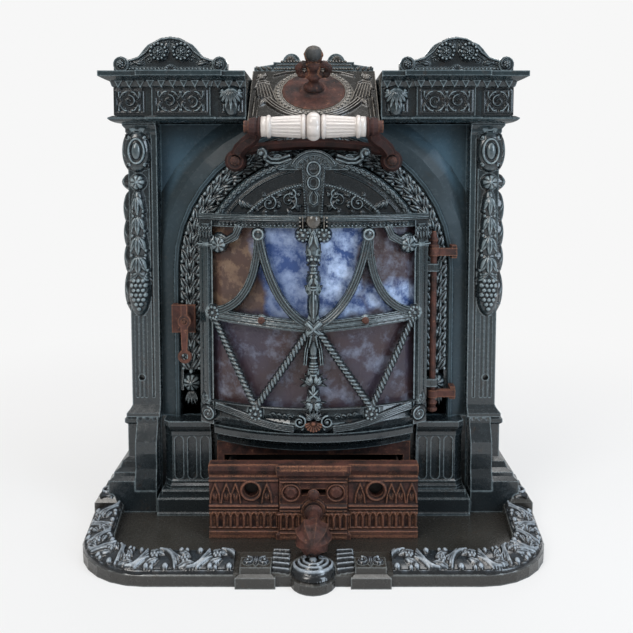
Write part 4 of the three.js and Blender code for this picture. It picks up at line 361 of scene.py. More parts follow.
def makeMetals():
    made = {}
    enamel, rust = enamelGroup(), rustGroup()
    for name, settings in enamels.items():
        coat = dict(zip(("Coat Weight", "Coat Roughness", "Specular IOR Level"), coats[name]))
        made[name] = makeMaterial(name, enamel, {**metal["noShade"], **settings}, metal["enamelBump"], coat)
    for name, settings in irons.items():
        made[name] = makeMaterial(name, rust, settings, metal["ironBump"], metal["iron"])
    return made


# Glazed porcelain with fine grey crazing, grime in patches, and darker in the hollows of the flutes
porcelainLook = {
    "colours": {"Glaze": (0.66, 0.6, 0.56), "Grime": (0.24, 0.19, 0.16)}, "bump": (0.08, 0.001),
    "own": {"Coat Weight": 0.5}, "cells": 140.0, "crack": (0.0, 0.02, 0.22, 0.0), "hollow": (0.006, 0.35, 0.9),
    "hollowShare": 0.7, "patch": (60.0, 4.0), "patchSpan": (0.58, 0.75, 0.0, 0.35), "gloss": 90.0,
    "glossSpan": (0.3, 0.7, 0.12, 0.26), "height": 30.0,
}


def porcelainMaterial():
    look = porcelainLook
    shade = Shade("porcelainShade", look["colours"])
    inputs = {"Scale": look["cells"], "Vector": objectPlace(shade.tree)}
    cells = shade.add("TexVoronoi", inputs, feature="DISTANCE_TO_EDGE")
    crack = shade.span(cells.outputs["Distance"], *look["crack"])
    hollow = shade.corner(*look["hollow"], share=look["hollowShare"])
    dirt = shade.most(crack, hollow, shade.span(shade.noise(*look["patch"]), *look["patchSpan"]))
    colour = shade.mix(dirt, shade.given["Glaze"], shade.given["Grime"])
    shade.finish(colour, shade.span(shade.noise(look["gloss"]), *look["glossSpan"]), shade.noise(look["height"]))
    return makeMaterial("porcelain", shade, look["colours"], look["bump"], look["own"])


# Sheets of mica: an amber one at the upper left, crumpled ones across the middle with a painted reflection in blue and
# white streaks, and dark plum below under a faint painted sheen
micaLook = {
    "colours": {
        "Plum": (0.058, 0.034, 0.036), "Shadow": (0.052, 0.042, 0.062), "Amber": (0.094, 0.056, 0.046),
        "Cream": (0.27, 0.18, 0.12), "Blue": (0.035, 0.075, 0.22), "Milk": (0.6, 0.74, 1.0),
    },
    "bump": (0.25, 0.002), "own": {"Specular IOR Level": 0.45},
    "waver": (14.0, 3.0), "waverSpan": (0.3, 0.7, -0.018, 0.018),
    "swirl": {"Scale": 12.0, "Distortion": 8.0, "Detail": 6.0, "Detail Scale": 3.0, "Detail Roughness": 0.7},
    "cloud": (30.0, 7.0, 0.68), "upper": (0.326, 0.338), "amberEdge": (-0.085, -0.075, 1.0, 0.0),
    "blueLeft": (-0.085, -0.07), "blueRight": (0.07, 0.08), "cornerLow": (0.33, 0.34),
    "cornerHigh": (0.375, 0.395, 1.0, 0.0),
    "plum": 10.0, "plumSpan": (0.4, 0.62), "sheen": (0.5, 0.72), "sheenShare": 0.26, "flame": (0.2, 0.75),
    "streakShare": 0.16, "streak": (0.44, 0.8), "rightward": (-0.03, 0.02, 0.5, 1.0), "gloss": 40.0,
    "glossSpan": (0.3, 0.7, 0.12, 0.3),
}


def micaMaterial():
    look = micaLook
    shade = Shade("micaShade", look["colours"])
    given, spot = shade.given, shade.axes()
    waver = shade.span(shade.noise(*look["waver"]), *look["waverSpan"])
    across, up = shade.maths("ADD", spot[0], waver), shade.maths("ADD", spot[2], waver)
    inputs = {**look["swirl"], "Vector": objectPlace(shade.tree)}
    swirl = shade.add("TexWave", inputs, bands_direction="DIAGONAL").outputs["Fac"]
    cloud = shade.noise(*look["cloud"])
    upper = shade.span(up, *look["upper"])
    leftward = shade.times(upper, shade.span(across, *look["amberEdge"]))
    beforeRight = shade.span(across, *look["blueRight"], 1.0, 0.0)
    middle = shade.times(upper, shade.times(shade.span(across, *look["blueLeft"]), beforeRight))
    band = shade.times(shade.span(up, *look["cornerLow"]), shade.span(up, *look["cornerHigh"]))
    corner = shade.times(shade.span(across, *look["blueRight"]), band)
    plum = shade.mix(shade.span(shade.noise(look["plum"]), *look["plumSpan"]), given["Plum"], given["Shadow"])
    # Painted sheen: the reflection colour in faint clouds over the plum
    sheen = shade.times(shade.span(cloud, *look["sheen"]), look["sheenShare"])
    colour = shade.mix(sheen, plum, given["Milk"])
    flame = shade.span(shade.times(swirl, cloud), *look["flame"])
    colour = shade.mix(leftward, colour, shade.mix(flame, given["Amber"], given["Cream"]))
    # Painted reflection: blue and white streaks, whiter to the right, over the middle and the right-hand corner
    streak = shade.span(shade.maths("ADD", shade.times(swirl, look["streakShare"]), cloud), *look["streak"])
    streak = shade.times(streak, shade.span(across, *look["rightward"]))
    blue = shade.mix(streak, given["Blue"], given["Milk"])
    colour = shade.mix(shade.most(middle, corner), colour, blue)
    shade.finish(colour, shade.span(shade.noise(look["gloss"]), *look["glossSpan"]), swirl)
    return makeMaterial("mica", shade, look["colours"], look["bump"], look["own"])


materials = {**makeMetals(), "porcelain": porcelainMaterial(), "mica": micaMaterial()}

# Castings that keep their shape and take a finish
dress = {
    "enamel": [
        "plinth_left", "plinth_right", "pedestal_left", "pedestal_right", "side_base_left", "side_base_right",
        "bracket_left", "bracket_right", "apron", "pilaster_left", "pilaster_right", "arch_garland",
        "entablature_left", "entablature_right", "pediment_left", "pediment_right", "top_plate", "gallery",
        "door_frame", "lunette",
    ],
    "enamelPanel": ["front_plate"],
    "enamelBlue": ["side_wall_left", "side_wall_right", "lower_plate"],
    "enamelOlive": ["hood"],
    "trayEnamel": ["hearth_plate"],
    "rust": [
        "drawer_frame", "lid", "lid_knob", "door_bolt_left", "door_bolt_right", "hinge_rod", "latch_keeper",
        "latch_lever", "drawer_front", "drawer_knob", "air_slider", "handle_rod", "handle_bolt_left",
        "handle_bolt_right", "hinge_bracket_top", "hinge_bracket_bottom",
    ],
    "maroon": ["handle_yoke"],
    "soot": [
        "runner_left", "runner_right", "back_plate", "fire_box", "charging_chute", "flue_collar", "liner_left",
        "liner_right", "liner_back", "grate", "mica_strip_top", "mica_strip_bottom", "ash_pan",
    ],
    "porcelain": ["grip_left", "grip_right", "grip_bead"],
    "mica": ["mica_sheet"],
}


def dressNodes():
    for finish, names in dress.items():
        for name in names:
            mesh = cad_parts[name].data
            mesh.materials.clear()
            mesh.materials.append(materials[finish])


dressNodes()
print("castings dressed")


# Points of lines: a bend pulled towards a spot, a part of an oval, and a line moved sideways
def bend(start, pull, end, count=24):
    t = np.linspace(0.0, 1.0, count)[:, None]
    start, pull, end = (np.asarray(p, float) for p in (start, pull, end))
    return (1 - t) ** 2 * start + 2 * t * (1 - t) * pull + t ** 2 * end


def oval(u, v, wide, tall=None, count=30, start=0.0, end=fullTurn):
    turn = np.linspace(start, end, count)
    return np.stack([u + wide * np.cos(turn), v + (wide if tall is None else tall) * np.sin(turn)], 1)


def sideStep(points, reach):
    points = np.asarray(points, float)
    along = np.gradient(points, axis=0)
    along /= np.hypot(along[:, 0], along[:, 1])[:, None]
    return points + reach * np.stack([-along[:, 1], along[:, 0]], 1)


def handed(side, points, u=0.0, v=0.0):
    return [(u + side * out, v + up) for out, up in points]


def polar(u, v, radius, turn):
    return u + radius * math.cos(turn), v + radius * math.sin(turn)


def measured(points):
    points = np.asarray(points, float)
    return points, np.concatenate([[0.0], np.cumsum(np.hypot(*np.diff(points, axis=0).T))])


def spotOn(points, length, way):
    return [np.interp(way, length, points[:, k]) for k in (0, 1)]


def turned(du, dv, turn):
    return du * math.cos(turn) + dv * math.sin(turn), dv * math.cos(turn) - du * math.sin(turn)


def inset(ends, reach):
    return ends[0] + reach, ends[1] - reach


def bar(line, middle, wide, high):
    return np.clip(1.0 - ((line - middle) / wide) ** 2, 0.0, 1.0) ** 0.5 * high


def within(line, ends):
    return (line >= ends[0]) & (line <= ends[1]) if ends else np.ones_like(line, bool)


# Relief on a grid: u runs along the ground and v across it, in metres, and at each spot the highest form stays.
# The shares inside the forms, which set how full a leaf or a petal is, were set one by one
class Relief:
    def __init__(self, uRange, vRange, pitch=0.0008):
        counts = [max(2, int(round((end - start) / pitch)) + 1) for start, end in (uRange, vRange)]
        self.u, self.v = np.linspace(*uRange, counts[0]), np.linspace(*vRange, counts[1])
        self.height = np.zeros((counts[1], counts[0]))

    def near(self, u, v, reach):
        i = slice(np.searchsorted(self.u, u - reach), np.searchsorted(self.u, u + reach, "right"))
        j = slice(np.searchsorted(self.v, v - reach), np.searchsorted(self.v, v + reach, "right"))
        return (j, i), self.u[i][None, :] - u, self.v[j][:, None] - v

    def lay(self, where, height):
        self.height[where] = np.maximum(self.height[where], height)

    def dome(self, u, v, wide, high, tall=None, turn=0.0):
        tall = wide if tall is None else tall
        where, du, dv = self.near(u, v, max(wide, tall))
        along, across = turned(du, dv, turn)
        inside = 1.0 - (along / wide) ** 2 - (across / tall) ** 2
        self.lay(where, high * np.sqrt(np.clip(inside, 0.0, 1.0)))

    def stroke(self, points, wide, high, thin=1.0):
        points, length = measured(points)
        count = max(2, int(length[-1] / (0.45 * wide)) + 1)
        for way in np.linspace(0.0, length[-1], count):
            size = 1.0 + (thin - 1.0) * (way / max(length[-1], 1e-9))
            self.dome(*spotOn(points, length, way), wide * size, high * (0.6 + 0.4 * size))

    def folds(self, points, half, wide, high, count=3):
        for k in range(count):
            self.stroke(sideStep(points, (2.0 * k / (count - 1) - 1.0) * half), wide, high)

    def rope(self, points, wide, high, twist):
        points, length = measured(points)
        for way in np.arange(0.0, length[-1], twist):
            u, v = spotOn(points, length, way)
            a, b = spotOn(points, length, min(way + twist, length[-1]))
            self.dome(u, v, wide, high, wide * 0.42, math.atan2(b - v, a - u) + 0.75)

    def scroll(self, u, v, reach, start, turns, wide, high, hand=1, bead=True):
        share = np.linspace(0.0, 1.0, 26)
        radius = reach * (1.0 - 0.82 * share)
        angle = start + hand * fullTurn * turns * share
        self.stroke(np.stack([u + radius * np.cos(angle), v + radius * np.sin(angle)], 1), wide, high, 0.6)
        if bead:
            self.dome(u, v, wide * 1.25, high * 1.15)

    def leaf(self, u, v, turn, length, wide, high, lobes=0):
        where, du, dv = self.near(*polar(u, v, 0.5 * length, turn), 0.5 * math.hypot(length, wide) + wide * 0.3)
        along, across = turned(du, dv, turn)
        along = along / length + 0.5
        share = np.clip(along, 0.0, 1.0)
        edge = 0.5 * wide * np.sin(math.pi * share ** 0.75)
        if lobes:
            edge = edge * (0.8 + 0.2 * np.abs(np.cos(math.pi * lobes * share)))
        out = np.abs(across) / np.maximum(edge, 1e-6)
        swell = np.sqrt(np.clip(1.0 - out ** 2, 0.0, 1.0)) * (0.55 + 0.45 * np.sin(math.pi * share))
        vein = 1.0 - 0.45 * np.exp(-((across / (0.07 * wide + 1e-6)) ** 2))
        if lobes:
            notch = np.abs(np.sin(math.pi * (lobes * share - out * 0.5)))
            vein = vein * (1.0 - 0.22 * notch * np.clip(out * 1.5, 0.0, 1.0))
        inside = (along > 0.0) & (along < 1.0) & (out < 1.0)
        self.lay(where, np.where(inside, high * swell * vein, 0.0))

    def fan(self, u, v, turns, *size):
        for turn in turns:
            self.leaf(u, v, turn, *size)

    def rosette(self, u, v, radius, petals, high):
        where, du, dv = self.near(u, v, radius)
        reach, angle = np.hypot(du, dv) / radius, np.arctan2(dv, du)
        petal = np.abs(np.cos(0.5 * petals * angle)) ** 0.6
        rim = 0.72 + 0.28 * petal
        swell = np.sqrt(np.clip(1.0 - (reach / rim) ** 2, 0.0, 1.0)) * (0.35 + 0.65 * petal)
        eye = np.where(reach < 0.3, 1.15 * np.sqrt(np.clip(1.0 - (reach / 0.3) ** 2, 0.0, 1.0)), 0.0)
        self.lay(where, np.where(reach < rim, high * np.maximum(swell, eye), 0.0))

    def shell(self, u, v, radius, ribs, high, start=0.0, sweep=math.pi):
        where, du, dv = self.near(u, v, radius)
        reach, angle = np.hypot(du, dv) / radius, (np.arctan2(dv, du) - start) % fullTurn
        rib = np.abs(np.sin(math.pi * ribs * angle / sweep)) ** 0.5
        swell = (0.35 + 0.65 * reach) * (0.4 + 0.6 * rib) * np.clip((0.94 + 0.06 * rib - reach) * 14.0, 0.0, 1.0)
        self.lay(where, np.where((reach < 1.0) & (angle <= sweep), high * swell, 0.0))

    def beads(self, start, end, radius, high, gap=2.2):
        start, end = np.asarray(start, float), np.asarray(end, float)
        count = max(1, int(np.hypot(*(end - start)) / (radius * gap)))
        for share in (np.arange(count) + 0.5) / count:
            self.dome(*(start + (end - start) * share), radius, high)

    def berries(self, u, v, radius, high, count, spread):
        for k in range(count):
            self.dome(*polar(u, v, spread, fullTurn * k / count + 0.5), radius, high)
        self.dome(u, v, radius, high * 1.2)

    def ridge(self, v, wide, high, uRange=None):
        self.height = np.maximum(self.height, bar(self.v, v, wide, high)[:, None] * within(self.u, uRange)[None, :])

    def post(self, u, wide, high, vRange=None):
        self.height = np.maximum(self.height, bar(self.u, u, wide, high)[None, :] * within(self.v, vRange)[:, None])

    def away(self, u, v):
        return np.hypot(self.u[None, :] - u, self.v[:, None] - v)

    def fill(self, where, high):
        self.height = np.where(where, np.maximum(self.height, high), self.height)


def twoLayers(*area):
    return Relief(*area), Relief(*area)


def raiseOver(base, detail):
    base.height = np.where((base.height > 0.0) | (detail.height > 0.0), base.height + detail.height, 0.0)
    return base


def blurred(field, reach):
    size = 2 * reach + 1
    for axis in (0, 1):
        pad = [(reach + 1, reach) if k == axis else (0, 0) for k in (0, 1)]
        total = np.cumsum(np.pad(field, pad, mode="edge"), axis=axis)
        count = total.shape[axis]
        ends = np.take(total, range(size, count), axis=axis), np.take(total, range(count - size), axis=axis)
        field = (ends[0] - ends[1]) / size
    return field


def addPiece(name, points, faces, body, finish, slot, rise=None, smooth=True):
    mesh = bpy.data.meshes.new(name)
    mesh.from_pydata(points, [], faces)
    if smooth:
        mesh.shade_smooth()
    if rise is not None:
        attribute = mesh.attributes.new("rise", "FLOAT", "POINT")
        attribute.data.foreach_set("value", rise.astype(np.float32))
    mesh.materials.append(materials[finish])
    piece = bpy.data.objects.new(name, mesh)
    scene.collection.objects.link(piece)
    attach(piece, body)
    return piece


# Turns a relief into a piece: place(u, v, height) gives its points, and bare ground is left out
carving = {"sink": 0.0006, "bare": 0.00005, "raised": 0.0006, "blur": 4, "leastShare": 0.12, "contrast": 0.0026}
bordered = {"finish": "enamelBorder", "slot": "tray_enamel"}
rusty = {"finish": "rust", "slot": "rust"}


def carve(name, relief, place, body="stove", finish="enamel", slot="enamel", mirror=False):
    c, high = carving, relief.height
    u, v = np.meshgrid(relief.u, relief.v)
    points = np.stack(place(u, v, np.where(high > 0.0, high, -c["sink"])), -1).reshape(-1, 3)
    index = np.arange(high.size).reshape(high.shape)
    raised = high > c["bare"]
    kept = raised[:-1, :-1] | raised[1:, :-1] | raised[:-1, 1:] | raised[1:, 1:]
    quads = np.stack([index[:-1, :-1], index[:-1, 1:], index[1:, 1:], index[1:, :-1]], -1)[kept]
    used, faces = np.unique(quads, return_inverse=True)
    share = blurred((high > c["raised"]).astype(float), c["blur"])
    around = blurred(high, c["blur"]) / np.maximum(share, c["leastShare"])
    rise = np.clip(0.5 + (high - around) / c["contrast"], 0.02, 1.0)
    points, faces = points[used], faces.reshape(-1, 4)
    if mirror:
        points, faces = points * (-1.0, 1.0, 1.0), faces[:, ::-1]
    addPiece(name, points.tolist(), faces.tolist(), body, finish, slot, rise.reshape(-1)[used])


def onFront(y):
    return lambda u, v, h: (u, y - h, v)


def onTop(z):
    return lambda u, v, h: (u, v, z + h)


def bothSides(name, relief, place, **more):
    carve(name + "Left", relief, place, **more)
    carve(name + "Right", relief, place, mirror=True, **more)


# Friezes: vine scrolls in sunk panels, a single scroll in each end panel and a pair on the middle block
frieze = {
    "band": (0.637, 0.679), "pitch": 0.0009, "inset": 0.004, "frame": 0.0017, "stem": 0.0021, "depth": 0.0056,
    "ground": 0.0004,
    "panels": [  # ends along the front, face, scrolls
        ("friezeEnd", (-0.308, -0.259), 0.002, 1), ("friezeBlock", (-0.246, -0.16), -0.006, 2),
        ("friezeInner", (-0.147, -0.107), 0.002, 1),
    ],
    "reach": (0.34, 0.66), "turns": 1.2, "tip": (0.47, 0.94),
    "tendrils": [  # start, pull, end, points, width, height, all as shares of a scroll's space and stem
        ((0.12, 0.98), (0.3, 0.98), (0.4, 0.42), 14, 0.72, 0.9),
        ((0.47, 0.94), (0.5, 0.3), (0.36, 0.16), 10, 0.62, 0.85),
    ],
}


def vine(relief, uRange, vRange, count):
    f = frieze
    wide, high = f["stem"], f["depth"]
    middle, tall = sum(vRange) / 2.0, (vRange[1] - vRange[0]) / 2.0
    step = (uRange[1] - uRange[0]) / count
    for i in range(count):
        u, hand = uRange[0] + step * (i + 0.5), 1 if i % 2 else -1
        reach = min(step * f["reach"][0], tall * f["reach"][1])
        relief.scroll(u, middle, reach, -hand * upward, f["turns"], wide, high, hand, False)
        for side in bothHands:
            for up in bothHands:
                at = lambda across, rise: (u + side * step * across, middle + up * tall * rise)
                for start, pull, end, points, thin, low in f["tendrils"]:
                    relief.stroke(bend(at(*start), at(*pull), at(*end), points), wide * thin, high * low)
                relief.leaf(*at(0.2, 0.86), math.atan2(-up, side), tall * 0.5, tall * 0.3, high * 0.9)
                relief.dome(*at(*f["tip"]), wide * 0.85, high)


def makeFriezes():
    f = frieze
    for name, ends, face, count in f["panels"]:
        relief = Relief(ends, f["band"], f["pitch"])
        uRange, vRange = inset(ends, f["inset"]), inset(f["band"], f["inset"])
        for v in vRange:
            relief.ridge(v, f["frame"], f["frame"], uRange)
        for u in uRange:
            relief.post(u, f["frame"], f["frame"], vRange)
        vine(relief, inset(ends, 2 * f["inset"]), inset(f["band"], 1.6 * f["inset"]), count)
        relief.fill(True, f["ground"])
        bothSides(name, relief, onFront(face))


makeFriezes()
print("friezes carved")


# Hanging garlands on the pilasters: cartouche, rosette, husks with berries and a bunch at the foot
garland = {
    "middle": -0.2745, "half": 0.0205, "band": (0.318, 0.618), "face": 0.012, "pitch": 0.0009, "base": 0.0125,
    "pads": [(0.5818, 0.0205, 0.033), (0.5339, 0.0135, 0.0135), (0.3618, 0.0175, 0.04)], "huskTall": 0.027,
    "husks": [(0.4972, 0.0105), (0.4662, 0.0125), (0.4352, 0.0145), (0.4041, 0.0165)],
    "curls": [(0.0135, 0.022, 0.0058, 1), (0.0125, -0.022, 0.0052, -1)], "curl": (1.1, 0.0015, 0.004),
    "bunch": (3, 4, 3, 4, 3, 2, 1), "bunchStep": (0.0072, 0.0075), "grape": (0.0038, 0.0044),
}
flank = {
    "face": -0.290, "middle": -0.026, "ends": (-0.039, -0.0125), "base": 0.0095, "pad": 1.04,
    "stops": [
        (0.5818, 0.0125, 0.03), (0.5339, 0.0095, 0.0135), (0.4916, 0.0082, 0.029), (0.4521, 0.0088, 0.029),
        (0.4126, 0.0105, 0.029), (0.3618, 0.0115, 0.036),
    ],
}


def garlandFront():
    g = garland
    x, top = g["middle"], g["pads"][0][0]
    base, detail = twoLayers((x - g["half"], x + g["half"]), g["band"], g["pitch"])
    for z, wide, tall in g["pads"] + [(*husk, g["huskTall"]) for husk in g["husks"]]:
        base.dome(x, z, wide, g["base"], tall)
    detail.dome(x, top, 0.0075, 0.0042, 0.0135)
    detail.stroke(oval(x, top, 0.012, 0.019), 0.0018, 0.004)
    detail.rosette(x, g["pads"][1][0], 0.0125, 7, 0.0042)
    for z, wide in g["husks"]:
        detail.leaf(x, z + 0.014, downward, 0.031, wide * 0.85, 0.0042)
        for side in bothHands:
            detail.leaf(x + side * 0.002, z + 0.013, downward + side * 0.42, 0.027, wide * 0.7, 0.0036)
            detail.dome(x + side * wide * 0.92, z - 0.009, 0.0032, 0.0052)
            detail.dome(x + side * wide * 0.8, z - 0.0155, 0.0028, 0.0046)
    foot = g["pads"][2][0]
    for row, count in enumerate(g["bunch"]):
        for k in range(count):
            u = x + (k - (count - 1) / 2.0) * g["bunchStep"][0]
            detail.dome(u, foot + 0.018 - row * g["bunchStep"][1], *g["grape"])
    for side in bothHands:
        for out, up, reach, way in g["curls"]:
            detail.scroll(x + side * out, top + up, reach, way * upward, *g["curl"], -way * side)
        detail.leaf(x + side * 0.004, top + 0.03, upward - side * 0.6, 0.013, 0.008, 0.003)
        detail.leaf(x, foot + 0.03, downward + side * 0.95, 0.026, 0.012, 0.004, 2)
    bothSides("garlandFront", raiseOver(base, detail), onFront(g["face"]))


def garlandSide():
    g, x = flank, flank["middle"]
    base, detail = twoLayers(g["ends"], garland["band"], garland["pitch"])
    for z, wide, tall in g["stops"]:
        base.dome(x, z, wide * g["pad"], g["base"], tall * g["pad"])
        detail.leaf(x, z + tall * 0.9, downward, tall * 1.8, wide * 0.9, 0.003)
        for side in bothHands:
            detail.leaf(x, z + tall * 0.7, downward + side * 0.4, tall * 1.3, wide * 0.7, 0.0026)
            detail.dome(x + side * wide * 0.8, z - tall * 0.6, 0.0026, 0.004)
    detail.rosette(x, g["stops"][1][0], 0.0095, 6, 0.004)
    bothSides("garlandSide", raiseOver(base, detail), lambda u, v, h: (g["face"] - h, -u, v))


# Openwork garland of the arch: leaves in pairs over berries, with the void left dark between them
archWay = {"middle": 0.196, "centre": 0.396, "foot": 0.226, "face": 0.0212, "half": 0.0165, "step": 0.0215}
archEnd = {
    "disc": ((-0.212, -0.180), (0.196, 0.228)), "spot": (-0.196, 0.212), "discFace": 0.0255,
    "tassel": ((-0.206, -0.186), (0.170, 0.202)), "threads": 5, "tasselFace": 0.0215,
}


def onArch(y):
    a = archWay
    leg = a["centre"] - a["foot"]

    def place(u, v, h):
        angle = math.pi - np.clip((u - leg) / a["middle"], 0.0, math.pi)
        radius = a["middle"] + v
        return radius * np.cos(angle), y - h, np.where(u < leg, a["foot"] + u, a["centre"] + radius * np.sin(angle))

    return place


def makeArch():
    a = archWay
    crown, step = a["centre"] - a["foot"] + upward * a["middle"], a["step"]
    relief = Relief((0.0, crown + 0.004), (-a["half"], a["half"]), 0.0009)
    for way in np.arange(0.006, crown - 0.01, step):
        for side in bothHands:
            relief.leaf(way, side * 0.0022, side * 0.55, step * 1.25, 0.0185, 0.0068, 2)
            relief.leaf(way + step * 0.5, side * 0.001, side * 0.2, step * 1.05, 0.0125, 0.0085)
            relief.dome(way + 0.0035, side * 0.0128, 0.0038, 0.006)
        relief.dome(way - 0.001, 0.0, 0.0046, 0.0095)
    relief.rosette(crown, 0.0, 0.0135, 6, 0.0085)
    bothSides("archGarland", relief, onArch(a["face"]))
    a = archEnd
    disc, petals = twoLayers(*a["disc"])
    disc.dome(*a["spot"], 0.0155, 0.011)
    petals.rosette(*a["spot"], 0.0145, 9, 0.004)
    bothSides("archRosette", raiseOver(disc, petals), onFront(a["discFace"]))
    tassel = Relief(*a["tassel"])
    for k in range(a["threads"]):
        lean = k - a["threads"] // 2
        tassel.leaf(a["spot"][0] + lean * 0.0016, 0.199, downward + lean * 0.2, 0.026, 0.0052, 0.0065)
    bothSides("archTassel", tassel, onFront(a["tasselFace"]))


# Hearth border: curling leaves and berries all round, by the way along its edge and the reach inwards
hearth = {
    "start": (-0.345, -0.020), "corner": (-0.226, -0.094), "radius": 0.110, "edge": -0.204, "band": (0.001, 0.0455),
    "stops": [0.0, 0.00276, 0.0207, 0.040, 0.0442, 0.046], "rises": [0.015, 0.018, 0.024, 0.027, 0.0246, 0.012],
    "step": 0.043, "pitch": 0.001, "short": 0.107, "middle": 0.0225, "swell": (0.0195, 0.0034),
    "rims": [(0.0035, 0.0022, 0.003), (0.0425, 0.0018, 0.0028)], "sweeps": 4,
    "leaves": [(0.023, 0.015, -0.35, 0.024, 0.0125, 0.0052, 3), (0.021, -0.0115, 0.5, 0.021, 0.0115, 0.005, 3)],
    "domes": [(0.0235, -0.0145, 0.0042, 0.0062), (0.031, -0.016, 0.0032, 0.0052), (0.0065, 0.0145, 0.0044, 0.006)],
    "berries": (0.0026, 0.0056, 5, 0.0042), "gap": (0.0555, 0.0315), "bar": (0.0535, 0.0335, 0.0028, 0.0048),
}


def onHearth():
    h = hearth
    bow = oval(*h["corner"], h["radius"], None, 40, math.pi, 1.5 * math.pi)
    points, length = measured([h["start"], *bow, (0.0, h["edge"])])
    ahead = np.gradient(points, length, axis=0)
    ahead /= np.hypot(ahead[:, 0], ahead[:, 1])[:, None]

    def place(u, v, high):
        (x, y), (dx, dy) = spotOn(points, length, u), spotOn(ahead, length, u)
        return x - dy * v, y + dx * v, np.interp(v, h["stops"], h["rises"]) + high

    return place, length[-1]


def makeHearthBorder():
    h, middle = hearth, hearth["middle"]
    place, total = onHearth()
    stop = total - h["short"]
    base, relief = twoLayers((0.004, stop), h["band"], h["pitch"])
    base.ridge(middle, *h["swell"])
    for i, way in enumerate(np.arange(0.010, stop - 0.012, h["step"])):
        hand = 1 if i % 2 else -1
        for k in range(h["sweeps"]):
            start = (way - 0.006 + 0.0042 * k, middle - hand * 0.0165)
            pull = (way + 0.012 + 0.002 * k, middle - hand * (0.014 - 0.004 * k))
            end = (way + 0.019 + 0.0018 * k, middle + hand * (0.0155 - 0.0052 * k))
            relief.stroke(bend(start, pull, end, 16), 0.0026 - 0.0002 * k, 0.0056 - 0.0004 * k, 0.7)
        for along, out, lean, *size in h["leaves"]:
            relief.leaf(way + along, middle + hand * out, hand * lean, *size)
        for along, out, *size in h["domes"]:
            relief.dome(way + along, middle + hand * out, *size)
        relief.berries(way + 0.0315, middle + hand * 0.004, *h["berries"])
    raiseOver(base, relief)
    for rim in h["rims"]:
        base.ridge(*rim)
    bothSides("hearthBorder", base, place, **bordered)
    gap = Relief((total - h["gap"][0], total - h["gap"][1]), h["band"], h["pitch"])
    start, end, wide, high = h["bar"]
    for k in range(5):
        gap.stroke([(total - start, 0.041 - 0.0085 * k), (total - end, 0.0385 - 0.0085 * k)], wide, high)
    bothSides("hearthGap", gap, place, **bordered)


# Leaf at each back corner of the hearth, scrolls on its front step and the ringed boss in the middle
hearthBlocks = {
    "pitch": 0.0009, "corner": ((-0.344, -0.310), (-0.018, 0.062)), "cornerMiddle": -0.327, "cornerRise": 0.0365,
    "step": ((-0.0985, -0.0555), (-0.2035, -0.1745)), "stepMiddle": -0.077, "stepRise": 0.0262,
    "boss": ((-0.0305, 0.0305), (-0.2255, -0.172)), "bossRise": 0.0185, "rings": (0.026, 0.0195, 0.013),
}


def makeHearthBlocks():
    h = hearthBlocks
    corner, x = Relief(*h["corner"], h["pitch"]), h["cornerMiddle"]
    corner.dome(x, -0.006, 0.014, 0.007)
    corner.scroll(x, -0.004, 0.0115, 0.6, 1.5, 0.0026, 0.011)
    for k in range(4):
        corner.leaf(x, 0.010 + 0.012 * k, upward + (0.5 if k % 2 else -0.5), 0.026, 0.016, 0.008, 3)
    corner.leaf(x, 0.006, upward, 0.052, 0.012, 0.0095, 3)
    bothSides("hearthCorner", corner, onTop(h["cornerRise"]), **bordered)
    step, x = Relief(*h["step"], h["pitch"]), h["stepMiddle"]
    for side in bothHands:
        step.scroll(x + side * 0.0115, -0.19, 0.0085, upward, 1.3, 0.002, 0.0052, side)
        step.leaf(x, -0.178, downward + side * 0.7, 0.018, 0.009, 0.005, 2)
    step.leaf(x, -0.177, downward, 0.024, 0.009, 0.0062, 2)
    bothSides("hearthStep", step, onTop(h["stepRise"]), **bordered)
    boss, detail = twoLayers(*h["boss"], h["pitch"])
    boss.dome(0.0, -0.195, 0.0302, 0.012)
    for radius in h["rings"]:
        detail.stroke(oval(0.0, -0.192, radius, None, 24, math.pi * 0.95, math.pi * 2.05), 0.0024, 0.0036)
    for side in bothHands:
        detail.scroll(side * 0.0115, -0.186, 0.0062, 0.0, 1.2, 0.0018, 0.004, -side)
    detail.dome(0.0, -0.193, 0.006, 0.0045)
    carve("hearthBoss", raiseOver(boss, detail), onTop(h["bossRise"]), **bordered)


garlandFront()
garlandSide()
makeArch()
makeHearthBorder()
makeHearthBlocks()
print("garlands and hearth carved")


# Door: everything follows its bow, so each relief is laid on the bowed face at its own reach
door = {
    "bowCentre": 0.22922, "bowRadius": 0.30022, "pitch": 0.0009, "finePitch": 0.0007,
    "glassLow": 0.197, "glassTall": 0.271, "glassHalf": 0.154,
}


def onBow(out):
    d = door
    return lambda u, v, h: (u, d["bowCentre"] - np.sqrt(d["bowRadius"] ** 2 - u * u) - out - h, v)


def onGlass(side, wide, up):
    return side * wide * door["glassHalf"], door["glassLow"] + up * door["glassTall"]


def halfRound(count, edge=0.5):
    return [math.pi * (k + edge) / (count - 1 + 2 * edge) for k in range(count)]


def leaning(middle, side, start, step, count):
    return [middle + side * (start + step * k) for k in range(count)]


